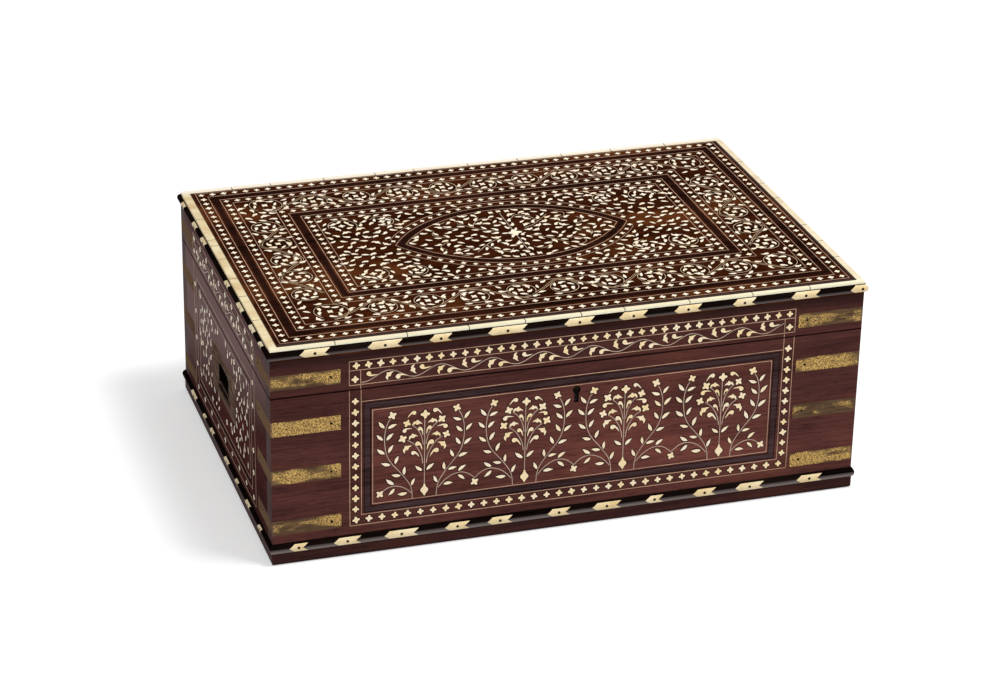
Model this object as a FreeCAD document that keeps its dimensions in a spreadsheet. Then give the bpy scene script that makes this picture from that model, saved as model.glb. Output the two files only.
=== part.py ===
"""Dressing box: a rosewood case with a hinged lid, ebony beads, bone trim and brass fittings.

Millimetres. The origin is the middle of the footprint, on the ground. +X runs to the right as one faces
the keyhole, +Y to the hinges at the back and +Z up. The lid is closed.
"""
import FreeCAD, Part
import Sketcher
import math
import os
import re

DIMENSIONS = {
    # Case
    "box_width": 450.0,
    "box_depth": 298.0,
    "box_height": 172.0,
    "lid_height": 38.5,
    "wall": 14.0,
    "plinth_height": 9.0,
    "plinth_lip": 0.6,
    "plinth_round": 2.2,
    # Lid panel and the bone banding let into its edge
    "panel_thickness": 9.8,
    "band_width": 6.8,
    "band_thickness": 2.0,
    "band_proud": 0.2,
    "band_joint": 0.6,
    # Half-round ebony beads with bone arrow plaques
    "bead_reach": 2.3,
    "base_bead_height": 8.6,
    "lid_bead_height": 6.8,
    "lid_bead_drop": 2.0,
    "plaque_height": 6.0,
    "plaque_point": 4.2,
    "plaque_edge": 0.3,
    "plaque_pin_radius": 1.1,
    # Brass corner straps
    "strap_height": 11.5,
    "strap_thickness": 1.2,
    "strap_front_leg": 51.0,
    "strap_side_leg": 43.0,
    "lid_strap_rise": 12.0,
    "upper_strap_drop": 24.3,
    "middle_strap_shift": 1.2,
    "lower_strap_level": 30.0,
    "strap_pin_radius": 1.1,
    "strap_pin_depth": 6.0,
    "strap_pin_inset": 7.0,
    # Ebony bands let into the front and the top
    "inlay_depth": 1.2,
    "front_frame_end_margin": 66.7,
    "front_frame_low": 34.2,
    "front_frame_drop": 12.0,
    "front_frame_shift": 1.9,
    "front_band": 3.9,
    "top_shift": 1.2,
    "outer_frame_end_margin": 18.8,
    "outer_frame_side_margin": 19.3,
    "outer_frame_shift": 1.2,
    "outer_band": 4.4,
    "inner_frame_end_margin": 52.8,
    "inner_frame_side_margin": 50.8,
    "inner_frame_shift": 4.2,
    "inner_band": 4.3,
    "oval_end_margin": 62.9,
    "oval_side_margin": 26.4,
    "oval_band": 4.0,
    # Butt hinges
    "hinge_length": 55.0,
    "hinge_inset": 75.0,
    "hinge_offset": 0.6,
    "leaf_width": 11.0,
    "leaf_thickness": 1.2,
    "leaf_screw_inset": 6.6,
    "barrel_radius": 2.25,
    "barrel_clearance": 0.35,
    "knuckle_gap": 0.3,
    "hinge_pin_radius": 1.2,
    "running_fit": 0.05,
    "screw_radius": 1.1,
    "screw_head_radius": 2.2,
    "screw_length": 9.0,
    # Box lock
    "keyhole_shift": 2.5,
    "keyhole_below_seam": 21.8,
    "keyhole_radius": 3.1,
    "keyhole_slot": 3.6,
    "keyhole_drop": 10.2,
    "lock_width": 64.0,
    "lock_height": 38.0,
    "lock_thickness": 10.0,
    "lock_sheet": 1.0,
    "lock_plate_length": 88.0,
    "lock_plate_width": 12.0,
    "lock_plate_thickness": 2.0,
    "plate_screw_inset": 4.4,
    "key_pin_radius": 1.3,
    "key_pin_length": 10.0,
    "link_plate_length": 60.0,
    "eye_spacing": 32.0,
    "eye_thickness": 3.0,
    "eye_width": 5.0,
    "eye_drop": 9.0,
    "eye_hole_width": 3.2,
    "eye_hole_height": 4.0,
    "eye_hole_drop": 5.5,
    "eye_clearance": 0.8,
    "bolt_finger_width": 2.4,
    "bolt_finger_height": 2.8,
    "bolt_throw": 6.0,
    "bolt_clearance": 1.0,
    "bolt_bar_height": 5.0,
    "bolt_bar_drop": 10.5,
    "bolt_side_gap": 0.3,
    "bolt_post": 4.0,
    "bolt_shelf": 1.5,
    "bolt_shelf_length": 16.0,
    "talon_width": 6.0,
    "talon_depth": 2.5,
    # Flush side handles
    "handle_level": 75.0,
    "handle_shift": 4.5,
    "handle_length": 78.0,
    "handle_height": 38.0,
    "handle_plate_thickness": 2.0,
    "pan_depth": 11.5,
    "pan_wall": 1.2,
    "bail_width": 41.0,
    "bail_height": 24.5,
    "bail_radius": 3.0,
    "bail_arm": 6.0,
    "bail_rise": 13.5,
    "bail_gap": 1.0,
    "bail_foot_gap": 2.0,
    "grip_radius": 2.2,
    "bail_pin_radius": 1.2,
    "bail_pin_bite": 4.5,
    "handle_screw_inset": 5.5,
    # Mirror in the lid
    "mirror_end_margin": 13.0,
    "mirror_side_margin": 12.0,
    "mirror_thickness": 3.0,
    "mirror_frame_width": 12.0,
    "mirror_frame_height": 7.0,
    "mirror_frame_lap": 4.0,
    # Lift-out tray
    "tray_clearance": 0.6,
    "tray_height": 36.0,
    "tray_below_seam": 3.0,
    "tray_wall": 5.0,
    "tray_floor": 4.0,
    "bearer_width": 8.0,
    "bearer_height": 9.0,
    "divider_thickness": 6.0,
    "partition_thickness": 4.0,
    "partition_spread": 140.0,
    "carry_slot_length": 64.0,
    "carry_slot_height": 14.0,
    "carry_slot_margin": 7.0,
}

doc = FreeCAD.newDocument("DressingBox")
sizes = doc.addObject("Spreadsheet::Sheet", "Sizes")
for row, (alias, value) in enumerate(DIMENSIONS.items(), start=1):
    sizes.set(f"A{row}", alias)
    sizes.set(f"B{row}", str(value))
    sizes.setAlias(f"B{row}", alias)
doc.recompute()

WORD = re.compile(r"[a-z][a-z_]+")
AXES = "xyz"
UP = FreeCAD.Vector(0, 0, 1)
OUTWARD = FreeCAD.Vector(0, 1, 0)
TURN_TO_AXIS = {
    "x": FreeCAD.Rotation(FreeCAD.Vector(0, 1, 0), 90),
    "y": FreeCAD.Rotation(FreeCAD.Vector(1, 0, 0), -90),
    "z": FreeCAD.Rotation(),
}
nodes = {}


def size(alias):
    """A driving dimension, read from the sheet."""
    return float(sizes.get(alias))


def bind(piece, prop, formula):
    """Tie a property to the sheet; words in the formula that name a dimension are looked up there."""
    sheet_formula = WORD.sub(lambda word: f"Sizes.{word[0]}" if word[0] in DIMENSIONS else word[0], formula)
    piece.setExpression(prop, sheet_formula)


def place(piece, spot, turn=None):
    """Bind where a piece stands, after any turn it needs."""
    if turn is not None:
        piece.Placement = FreeCAD.Placement(FreeCAD.Vector(), turn)
    for axis, formula in zip(AXES, spot):
        bind(piece, f"Placement.Base.{axis}", formula)
    return piece


def block(name, x_span, y_span, z_span):
    """A rectangular piece between the low and high formula of each axis."""
    piece = doc.addObject("Part::Box", name)
    spans = (x_span, y_span, z_span)
    for prop, (low, high) in zip(("Length", "Width", "Height"), spans):
        bind(piece, prop, f"({high}) - ({low})")
    return place(piece, [low for low, high in spans])


def rod(name, radius, length, start, axis):
    """A round bar that runs along an axis from its start."""
    piece = doc.addObject("Part::Cylinder", name)
    bind(piece, "Radius", radius)
    bind(piece, "Height", length)
    return place(piece, start, TURN_TO_AXIS[axis])


def cut(name, base, *tools):
    """Take the tools out of the base, one after another."""
    for number, tool in enumerate(tools, start=1):
        last = number == len(tools)
        piece = doc.addObject("Part::Cut", name if last else f"{name}_cut_{number}")
        piece.Base = base
        piece.Tool = tool
        base = piece
    return piece


def fuse(name, *pieces):
    """Join pieces into one solid."""
    whole = doc.addObject("Part::MultiFuse", name)
    whole.Shapes = list(pieces)
    return whole


def common(name, base, tool):
    """Keep what two pieces share."""
    piece = doc.addObject("Part::Common", name)
    piece.Base = base
    piece.Tool = tool
    return piece


def group(name, pieces):
    """Several separate solids under one name."""
    whole = doc.addObject("Part::Compound", name)
    whole.Links = list(pieces)
    return whole


def formed(name, shapes, placement=FreeCAD.Placement()):
    """A group of solids that a loop has shaped from the sheet's sizes."""
    piece = doc.addObject("Part::Feature", name)
    piece.Shape = Part.makeCompound(shapes)
    piece.Placement = placement
    return piece


def node(label, piece):
    """Keep a finished piece under the name that a person would use."""
    piece.Label = label
    nodes[label] = piece
    return piece


def mirrored(sign, near, far):
    """The span from near to far on the positive or the negative side."""
    return (near, far) if sign > 0 else (f"-({far})", f"-({near})")


def about(middle, width):
    """The span of a width about its middle."""
    return (f"({middle}) - ({width}) / 2", f"({middle}) + ({width}) / 2")


# Faces that many pieces share
LEFT, RIGHT = "-box_width / 2", "box_width / 2"
FRONT, BACK = "-box_depth / 2", "box_depth / 2"
INNER_LEFT, INNER_RIGHT = "(wall - box_width / 2)", "(box_width / 2 - wall)"
INNER_FRONT, INNER_BACK = "(wall - box_depth / 2)", "(box_depth / 2 - wall)"
SEAM = "(box_height - lid_height)"
PANEL_TOP = "(box_height - band_proud)"
PANEL_FOOT = "(box_height - band_proud - panel_thickness)"
FULL_WIDTH = (LEFT, RIGHT)
FULL_DEPTH = (FRONT, BACK)
BETWEEN_FRONT_AND_BACK = (INNER_FRONT, INNER_BACK)
CASE_RISE = ("plinth_height", SEAM)
LID_RISE = (SEAM, PANEL_FOOT)
CORNERS = [(across, along) for across in (-1, 1) for along in (-1, 1)]
seam_level = size("box_height") - size("lid_height")

# Bottom board: its edge shows as the plinth, rounded where it meets the ground
bottom = doc.addObject("PartDesign::Body", "bottom_board")
outline = bottom.newObject("Sketcher::SketchObject", "bottom_outline")
outline.AttachmentSupport = [(next(f for f in bottom.Origin.OriginFeatures if f.Role == "XY_Plane"), "")]
outline.MapMode = "FlatFace"
half_length = size("box_width") / 2 + size("plinth_lip")
half_depth = size("box_depth") / 2 + size("plinth_lip")
corners = [(-half_length, -half_depth), (half_length, -half_depth), (half_length, half_depth),
           (-half_length, half_depth)]
points = [FreeCAD.Vector(x, y, 0) for x, y in corners]
for start, end in zip(points, points[1:] + points[:1]):
    outline.addGeometry(Part.LineSegment(start, end))
for line in range(4):
    outline.addConstraint(Sketcher.Constraint("Coincident", line, 2, (line + 1) % 4, 1))
    outline.addConstraint(Sketcher.Constraint("Horizontal" if line % 2 == 0 else "Vertical", line))
outline.addConstraint(Sketcher.Constraint("Symmetric", 0, 1, 1, 2, -1, 1))
width_rule = outline.addConstraint(Sketcher.Constraint("DistanceX", 0, 1, 0, 2, 2 * half_length))
depth_rule = outline.addConstraint(Sketcher.Constraint("DistanceY", 1, 1, 1, 2, 2 * half_depth))
bind(outline, f"Constraints[{width_rule}]", "box_width + 2 * plinth_lip")
bind(outline, f"Constraints[{depth_rule}]", "box_depth + 2 * plinth_lip")
board = bottom.newObject("PartDesign::Pad", "bottom_thickness")
board.Profile = outline
bind(board, "Length", "plinth_height")
doc.recompute()
foot_edges = [f"Edge{number}" for number, edge in enumerate(board.Shape.Edges, start=1)
              if edge.BoundBox.ZMax < size("plinth_height") / 2]
rounding = bottom.newObject("PartDesign::Fillet", "bottom_rounding")
rounding.Base = (board, foot_edges)
bind(rounding, "Radius", "plinth_round")
node("bottom_board", bottom)

# Brass straps: an angle of two legs at every corner, let in flush and pinned near each end
UPPER_STRAP = f"({SEAM} - upper_strap_drop)"
STRAP_LEVELS = {
    "base": {"upper": UPPER_STRAP,
             "middle": f"({UPPER_STRAP} + lower_strap_level) / 2 + middle_strap_shift",
             "lower": "lower_strap_level"},
    "lid": {"lid": f"{SEAM} + lid_strap_rise"},
}
STRAP_PIN_X = f"({RIGHT} - strap_front_leg + strap_pin_inset)"
STRAP_PIN_Y = f"({BACK} - strap_side_leg + strap_pin_inset)"


def signed(sign, formula):
    """A place on the positive or the negative side."""
    return formula if sign > 0 else f"-({formula})"


def strap(name, level, across, along):
    """One corner angle at a level."""
    rise = about(level, "strap_height")
    front_leg = block(f"{name}_strap_front_leg", mirrored(across, f"{RIGHT} - strap_front_leg", RIGHT),
                      mirrored(along, f"{BACK} - strap_thickness", BACK), rise)
    side_leg = block(f"{name}_strap_side_leg", mirrored(across, f"{RIGHT} - strap_thickness", RIGHT),
                     mirrored(along, f"{BACK} - strap_side_leg", BACK), rise)
    return fuse(f"{name}_strap", front_leg, side_leg)


def strap_pin_pair(name, level, across, along):
    """The pins of one angle, driven in square to its two faces."""
    front_start = mirrored(along, f"{BACK} - strap_pin_depth", BACK)[0]
    side_start = mirrored(across, f"{RIGHT} - strap_pin_depth", RIGHT)[0]
    return [rod(f"{name}_front_pin", "strap_pin_radius", "strap_pin_depth",
                (signed(across, STRAP_PIN_X), front_start, level), "y"),
            rod(f"{name}_side_pin", "strap_pin_radius", "strap_pin_depth",
                (side_start, signed(along, STRAP_PIN_Y), level), "x")]


strap_seats, strap_pins = {}, {}
for part, levels in STRAP_LEVELS.items():
    places = [(name, level, *corner) for name, level in levels.items() for corner in CORNERS]
    strap_seats[part] = group(f"{part}_strap_seats", [strap(*spot) for spot in places])
    pins = [pin for spot in places for pin in strap_pin_pair(*spot)]
    strap_pins[part] = node(f"{part}_strap_pins", group(f"{part}_strap_pins", pins))
    node(f"{part}_corner_straps",
         cut(f"{part}_corner_straps", strap_seats[part], strap_pins[part]))

# Butt hinges at the back: leaves let into the meeting edges, barrel just proud of the back
HINGE_LINE = f"({BACK} + hinge_offset)"
HINGE_MIDDLE = f"({RIGHT} - hinge_inset)"
KNUCKLES = 5
LEAF_FRONT = f"{BACK} - leaf_width"
LEAF_EDGE = f"{HINGE_LINE} - barrel_radius - barrel_clearance"


def hinge_leaf(name, middle, rise, knuckle_numbers):
    """A leaf with its own knuckles, bored for the pin."""
    start = f"({middle}) - hinge_length / 2"
    pieces = [block(f"{name}_plate", about(middle, "hinge_length"), (LEAF_FRONT, LEAF_EDGE), rise)]
    for number in knuckle_numbers:
        low = f"{start} + hinge_length * {number} / {KNUCKLES} + knuckle_gap / 2"
        length = f"hinge_length / {KNUCKLES} - knuckle_gap"
        pieces.append(rod(f"{name}_knuckle_{number}", "barrel_radius", length,
                          (low, HINGE_LINE, SEAM), "x"))
        span = (low, f"{low} + {length}")
        pieces.append(block(f"{name}_web_{number}", span, (LEAF_EDGE, HINGE_LINE), rise))
    bore = rod(f"{name}_bore", "hinge_pin_radius + running_fit", "hinge_length",
               (start, HINGE_LINE, SEAM), "x")
    return fuse(f"{name}_blank", *pieces), bore


def screw(spot, direction):
    """A countersunk wood screw whose head is flush at the spot."""
    shank_radius, head_radius = size("screw_radius"), size("screw_head_radius")
    shank = Part.makeCylinder(shank_radius, size("screw_length"), spot, direction)
    head = Part.makeCone(head_radius, shank_radius, size("leaf_thickness"), spot, direction)
    return shank.fuse(head).removeSplitter()


def hinge_screws(direction):
    """Three screws in each leaf, driven away from the seam."""
    y = size("box_depth") / 2 - size("leaf_screw_inset")
    middle = size("box_width") / 2 - size("hinge_inset")
    step = size("hinge_length") / 3
    return [screw(FreeCAD.Vector(side * middle + number * step, y, seam_level), direction)
            for side in (-1, 1) for number in (-1, 0, 1)]


HINGES = [("left_hinge", f"-{HINGE_MIDDLE}"), ("right_hinge", HINGE_MIDDLE)]
leaf_kinds = {"base": ((f"{SEAM} - leaf_thickness", SEAM), (0, 2, 4), -UP),
              "lid": ((SEAM, f"{SEAM} + leaf_thickness"), (1, 3), UP)}
leaf_seats, leaf_screws = {}, {}
for part, (rise, knuckle_numbers, direction) in leaf_kinds.items():
    leaves = [hinge_leaf(f"{part}_{name}", middle, rise, knuckle_numbers) for name, middle in HINGES]
    leaf_seats[part] = group(f"{part}_leaf_seats", [blank for blank, bore in leaves])
    bores = group(f"{part}_leaf_bores", [bore for blank, bore in leaves])
    screws = formed(f"hinge_{part}_screws", hinge_screws(direction))
    leaf_screws[part] = node(f"hinge_{part}_screws", screws)
    node(f"hinge_{part}_leaves", cut(f"hinge_{part}_leaves", leaf_seats[part], bores, screws))
hinge_pins = [rod(f"{name}_pin", "hinge_pin_radius", "hinge_length",
                  (f"({middle}) - hinge_length / 2", HINGE_LINE, SEAM), "x") for name, middle in HINGES]
node("hinge_pins", group("hinge_pins", hinge_pins))
barrel_room = group("barrel_room", [
    rod(f"{name}_room", "barrel_radius + barrel_clearance", "hinge_length + 2 * barrel_clearance",
        (f"({middle}) - hinge_length / 2 - barrel_clearance", HINGE_LINE, SEAM), "x")
    for name, middle in HINGES])

# Box lock, let into the front board from inside; its bolt slides sideways through the eyes of the lid
LOCK_BACK = INNER_FRONT
LOCK_FRONT = f"({INNER_FRONT} - lock_thickness)"
LOCK_TOP = f"({SEAM} - lock_plate_thickness)"
LOCK_FOOT = f"({LOCK_TOP} - lock_height)"
LOCK_MIDDLE = f"({INNER_FRONT} - lock_thickness / 2)"
PLATE_SPAN = (f"{INNER_FRONT} - lock_plate_width", INNER_FRONT)
KEYHOLE_LEVEL = f"({SEAM} - keyhole_below_seam)"
EYES = ["keyhole_shift - eye_spacing / 2", "keyhole_shift + eye_spacing / 2"]
EYE_LEVEL = f"({SEAM} - eye_hole_drop)"
BAR_TOP = f"({SEAM} - bolt_bar_drop)"
BAR_FOOT = f"({BAR_TOP} - bolt_bar_height)"

keyhole = fuse(
    "keyhole",
    rod("keyhole_head", "keyhole_radius", "wall - lock_thickness + 2 * lock_sheet",
        ("keyhole_shift", f"{FRONT} - lock_sheet / 2", KEYHOLE_LEVEL), "y"),
    block("keyhole_slot", about("keyhole_shift", "keyhole_slot"),
          (f"{FRONT} - lock_sheet / 2", f"{LOCK_FRONT} + lock_sheet * 3 / 2"),
          (f"{KEYHOLE_LEVEL} - keyhole_drop", KEYHOLE_LEVEL)))
lock_room = block("lock_room", about("keyhole_shift", "lock_width"), (LOCK_FRONT, LOCK_BACK),
                  (LOCK_FOOT, LOCK_TOP))
lock_hollow = block("lock_hollow", about("keyhole_shift", "lock_width - 2 * lock_sheet"),
                    (f"{LOCK_FRONT} + lock_sheet", f"{LOCK_BACK} - lock_sheet"),
                    (f"{LOCK_FOOT} + lock_sheet", LOCK_TOP))
lock_shell = cut("lock_shell", lock_room, lock_hollow, keyhole)
shelf_ends = ["keyhole_shift - lock_width / 2 + lock_sheet", "keyhole_shift + bolt_clearance + talon_width"]
shelves = [block(f"bolt_shelf_{number}", (low, f"{low} + bolt_shelf_length"), (LOCK_FRONT, LOCK_BACK),
                 (f"{BAR_FOOT} - bolt_shelf", BAR_FOOT)) for number, low in enumerate(shelf_ends)]
node("lock_case", fuse("lock_case", lock_shell, *shelves))
node("lock_key_pin", rod("lock_key_pin", "key_pin_radius", "key_pin_length",
                         ("keyhole_shift", f"{LOCK_BACK} - lock_sheet - key_pin_length", KEYHOLE_LEVEL), "y"))

lock_plate_seat = block("lock_plate_seat", about("keyhole_shift", "lock_plate_length"), PLATE_SPAN,
                        (LOCK_TOP, SEAM))
eye_ways = group("eye_ways", [
    block(f"eye_way_{number}", about(middle, "eye_thickness + 2 * eye_clearance"),
          about(LOCK_MIDDLE, "eye_width + 2 * eye_clearance"), (LOCK_TOP, SEAM))
    for number, middle in enumerate(EYES)])


def plate_screws(length_name, direction):
    """A screw near each end of a plate at the seam."""
    reach = size(length_name) / 2 - size("plate_screw_inset")
    y = size("wall") - size("box_depth") / 2 - size("lock_plate_width") / 2
    return [screw(FreeCAD.Vector(size("keyhole_shift") + side * reach, y, seam_level), direction)
            for side in (-1, 1)]


lock_screws = node("lock_screws", formed("lock_screws", plate_screws("lock_plate_length", -UP)))
node("lock_top_plate", cut("lock_top_plate", lock_plate_seat, eye_ways, lock_screws))

link_screws = node("lock_link_screws", formed("lock_link_screws", plate_screws("link_plate_length", UP)))
link_plate_seat = block("link_plate_seat", about("keyhole_shift", "link_plate_length"), PLATE_SPAN,
                        (SEAM, f"{SEAM} + lock_plate_thickness"))
eyes = [block(f"eye_{number}", about(middle, "eye_thickness"), about(LOCK_MIDDLE, "eye_width"),
              (f"{SEAM} - eye_drop", SEAM)) for number, middle in enumerate(EYES)]
eye_holes = group("eye_holes", [
    block(f"eye_hole_{number}", about(middle, "eye_thickness"), about(LOCK_MIDDLE, "eye_hole_width"),
          about(EYE_LEVEL, "eye_hole_height")) for number, middle in enumerate(EYES)])
node("lock_link_plate", cut("lock_link_plate", fuse("link_plate_blank", link_plate_seat, *eyes), eye_holes,
                            link_screws))

bolt_pieces = []
for number, middle in enumerate(EYES):
    tip = f"({middle} - eye_thickness / 2 - bolt_clearance)"
    bolt_pieces.append(block(f"bolt_finger_{number}", (f"{tip} - bolt_throw", tip),
                             about(LOCK_MIDDLE, "bolt_finger_width"), about(EYE_LEVEL, "bolt_finger_height")))
    root = f"({tip} - bolt_throw)"
    bolt_pieces.append(block(f"bolt_post_{number}", (f"{root} - bolt_post", root),
                             about(LOCK_MIDDLE, "bolt_finger_width"),
                             (BAR_TOP, f"{EYE_LEVEL} + bolt_finger_height / 2")))
bar_start = f"{EYES[0]} - eye_thickness / 2 - bolt_clearance - bolt_throw - bolt_post"
bar_end = f"{EYES[1]} - eye_thickness / 2 - bolt_clearance - bolt_throw"
bolt_bar = block("bolt_bar", (bar_start, bar_end),
                 about(LOCK_MIDDLE, "lock_thickness - 2 * (lock_sheet + bolt_side_gap)"),
                 (BAR_FOOT, BAR_TOP))
talon = block("talon", about("keyhole_shift - bolt_throw / 2", "talon_width"), (LOCK_FRONT, LOCK_BACK),
              (BAR_FOOT, f"{BAR_FOOT} + talon_depth"))
node("lock_bolt", cut("lock_bolt", fuse("bolt_blank", bolt_bar, *bolt_pieces), talon))

# Ebony bands: each a ring with its seat in the wood
front_band_depth = (FRONT, f"{FRONT} + inlay_depth")
FRONT_FRAME_LENGTH = "(box_width - 2 * front_frame_end_margin)"
FRONT_FRAME_TOP = f"({SEAM} - front_frame_drop)"
front_band = cut("front_band",
                 block("front_band_outside", about("front_frame_shift", FRONT_FRAME_LENGTH), front_band_depth,
                       ("front_frame_low", FRONT_FRAME_TOP)),
                 block("front_band_inside",
                       about("front_frame_shift", f"{FRONT_FRAME_LENGTH} - 2 * front_band"), front_band_depth,
                       ("front_frame_low + front_band", f"{FRONT_FRAME_TOP} - front_band")))
node("front_ebony_band", front_band)
TOP_INLAY = (f"{PANEL_TOP} - inlay_depth", PANEL_TOP)
OUTER_LENGTH = "(box_width - 2 * outer_frame_end_margin)"
OUTER_DEPTH = "(box_depth - 2 * outer_frame_side_margin)"
INNER_LENGTH = f"({OUTER_LENGTH} - 2 * inner_frame_end_margin)"
INNER_DEPTH = f"({OUTER_DEPTH} - 2 * inner_frame_side_margin)"


def top_band(name, length, depth, band, shift):
    """A rectangular ebony band on the lid."""
    return node(name, cut(
        name,
        block(f"{name}_outside", about("top_shift", length), about(shift, depth), TOP_INLAY),
        block(f"{name}_inside", about("top_shift", f"{length} - 2 * {band}"),
              about(shift, f"{depth} - 2 * {band}"), TOP_INLAY)))


outer_band = top_band("lid_outer_ebony_band", OUTER_LENGTH, OUTER_DEPTH, "outer_band", "outer_frame_shift")
inner_band = top_band("lid_inner_ebony_band", INNER_LENGTH, INNER_DEPTH, "inner_band", "inner_frame_shift")

# The pointed oval is where two round discs overlap
OVAL_LENGTH = f"({INNER_LENGTH} - 2 * oval_end_margin)"
OVAL_DEPTH = f"({INNER_DEPTH} - 2 * oval_side_margin)"
OVAL_RADIUS = f"(({OVAL_LENGTH} ^ 2 + {OVAL_DEPTH} ^ 2) / (4 * {OVAL_DEPTH}))"
OVAL_CENTRE = f"({OVAL_RADIUS} - {OVAL_DEPTH} / 2)"


def pointed_oval(name, inset):
    """The overlap of two discs whose rims stand in by the inset."""
    discs = [rod(f"{name}_disc_{side}", f"{OVAL_RADIUS} - {inset}", "inlay_depth",
                 ("top_shift", f"inner_frame_shift + {side} * {OVAL_CENTRE}", TOP_INLAY[0]), "z")
             for side in (-1, 1)]
    return common(name, *discs)


oval_rims = (pointed_oval("oval_outside", "0"), pointed_oval("oval_inside", "oval_band"))
oval_band = node("lid_oval_ebony_band", cut("lid_oval_ebony_band", *oval_rims))

# Flush side handles: a cast plate with a sunk pan, and a bail that hangs in it on two pins
PIVOT = "(bail_rise - bail_radius)"
GRIP_LEVEL = "(bail_rise - bail_height + grip_radius)"
handle_sides = {"left": (LEFT, FreeCAD.Rotation(UP, 180)), "right": (RIGHT, FreeCAD.Rotation())}
handle_seats, handle_screw_groups = {}, {}
for side, (face, turn) in handle_sides.items():
    spot = (face, "handle_shift", "handle_level")
    plate = block(f"{side}_plate", ("-handle_plate_thickness", "0"), about("0", "handle_length"),
                  about("0", "handle_height"))
    pan = block(f"{side}_pan", ("-pan_depth", "0"), about("0", "bail_width + 2 * bail_gap + 2 * pan_wall"),
                ("bail_rise - bail_height - bail_foot_gap - pan_wall", "bail_rise + bail_gap + pan_wall"))
    recess = block(f"{side}_recess", ("pan_wall - pan_depth", "0"), about("0", "bail_width + 2 * bail_gap"),
                   ("bail_rise - bail_height - bail_foot_gap", "bail_rise + bail_gap"))
    pin_seats = [rod(f"{side}_pin_{end}", "bail_pin_radius", "bail_gap + pan_wall + bail_pin_bite",
                     ("-bail_radius", low, PIVOT), "y")
                 for end, low in (("front", "-(bail_width / 2 + bail_gap + pan_wall)"),
                                  ("back", "bail_width / 2 - bail_pin_bite"))]
    y_reach = size("handle_length") / 2 - size("handle_screw_inset")
    z_reach = size("handle_height") / 2 - size("handle_screw_inset")
    local_screws = [screw(FreeCAD.Vector(0, y * y_reach, z * z_reach), FreeCAD.Vector(-1, 0, 0))
                    for y, z in CORNERS]
    screw_seats = formed(f"{side}_screw_seats", local_screws)
    pins_together = group(f"{side}_pin_seats", pin_seats)
    handle_seats[side] = place(fuse(f"{side}_handle_seat", plate, pan), spot, turn)
    casting = cut(f"{side}_handle_plate", fuse(f"{side}_casting", plate, pan),
                  recess, pins_together, screw_seats)
    node(f"{side}_handle_plate", place(casting, spot, turn))
    node(f"{side}_handle_pins", place(group(f"{side}_handle_pins", pin_seats), spot, turn))
    screws = place(group(f"{side}_handle_screws", [screw_seats]), spot, turn)
    handle_screw_groups[side] = node(f"{side}_handle_screws", screws)

    barrel = rod(f"{side}_barrel", "bail_radius", "bail_width",
                 ("-bail_radius", "-bail_width / 2", PIVOT), "y")
    grip = rod(f"{side}_grip", "grip_radius", "bail_width",
               ("-bail_radius", "-bail_width / 2", GRIP_LEVEL), "y")
    arms = [block(f"{side}_arm_{end}", ("-2 * bail_radius", "0"),
                  mirrored(end, "bail_width / 2 - bail_arm", "bail_width / 2"), (GRIP_LEVEL, PIVOT))
            for end in (1, -1)]
    pin_holes = group(f"{side}_pin_holes", [
        rod(f"{side}_pin_hole_{end}", "bail_pin_radius + running_fit", "bail_pin_bite + running_fit",
            ("-bail_radius", low, PIVOT), "y")
        for end, low in (("front", "-bail_width / 2"),
                         ("back", "bail_width / 2 - bail_pin_bite - running_fit"))])
    bail = cut(f"{side}_bail", fuse(f"{side}_bail_blank", barrel, grip, *arms), pin_holes)
    node(f"{side}_bail", place(bail, spot, turn))

# Case boards: front and back run the full width, the sides stand between them
node("base_front_board", cut(
    "base_front_board", block("front_blank", FULL_WIDTH, (FRONT, INNER_FRONT), CASE_RISE),
    strap_seats["base"], strap_pins["base"], front_band, lock_room, lock_plate_seat, lock_screws, keyhole))
node("base_back_board", cut(
    "base_back_board", block("back_blank", FULL_WIDTH, (INNER_BACK, BACK), CASE_RISE),
    strap_seats["base"], strap_pins["base"], leaf_seats["base"], leaf_screws["base"], barrel_room))
for side, span in (("left", (LEFT, INNER_LEFT)), ("right", (INNER_RIGHT, RIGHT))):
    node(f"base_{side}_board", cut(
        f"base_{side}_board", block(f"{side}_blank", span, BETWEEN_FRONT_AND_BACK, CASE_RISE),
        strap_seats["base"], strap_pins["base"], handle_seats[side], handle_screw_groups[side]))

# Lid rails
node("lid_front_rail", cut(
    "lid_front_rail", block("lid_front_blank", FULL_WIDTH, (FRONT, INNER_FRONT), LID_RISE),
    strap_seats["lid"], strap_pins["lid"], link_plate_seat, link_screws))
node("lid_back_rail", cut(
    "lid_back_rail", block("lid_back_blank", FULL_WIDTH, (INNER_BACK, BACK), LID_RISE),
    strap_seats["lid"], strap_pins["lid"], leaf_seats["lid"], leaf_screws["lid"], barrel_room))
for side, span in (("left", (LEFT, INNER_LEFT)), ("right", (INNER_RIGHT, RIGHT))):
    node(f"lid_{side}_rail", cut(
        f"lid_{side}_rail", block(f"lid_{side}_blank", span, BETWEEN_FRONT_AND_BACK, LID_RISE),
        strap_seats["lid"], strap_pins["lid"]))

# Lid panel, rebated round its edge for the bone banding and grooved for the ebony bands
band_foot = "box_height - band_thickness"
rebate = cut("banding_rebate",
             block("rebate_outside", FULL_WIDTH, FULL_DEPTH, (band_foot, PANEL_TOP)),
             block("rebate_inside", about("0", "box_width - 2 * band_width"),
                   about("0", "box_depth - 2 * band_width"), (band_foot, PANEL_TOP)))
node("lid_top_panel", cut(
    "lid_top_panel", block("panel_blank", FULL_WIDTH, FULL_DEPTH, (PANEL_FOOT, PANEL_TOP)),
    rebate, outer_band, inner_band, oval_band))


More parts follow.
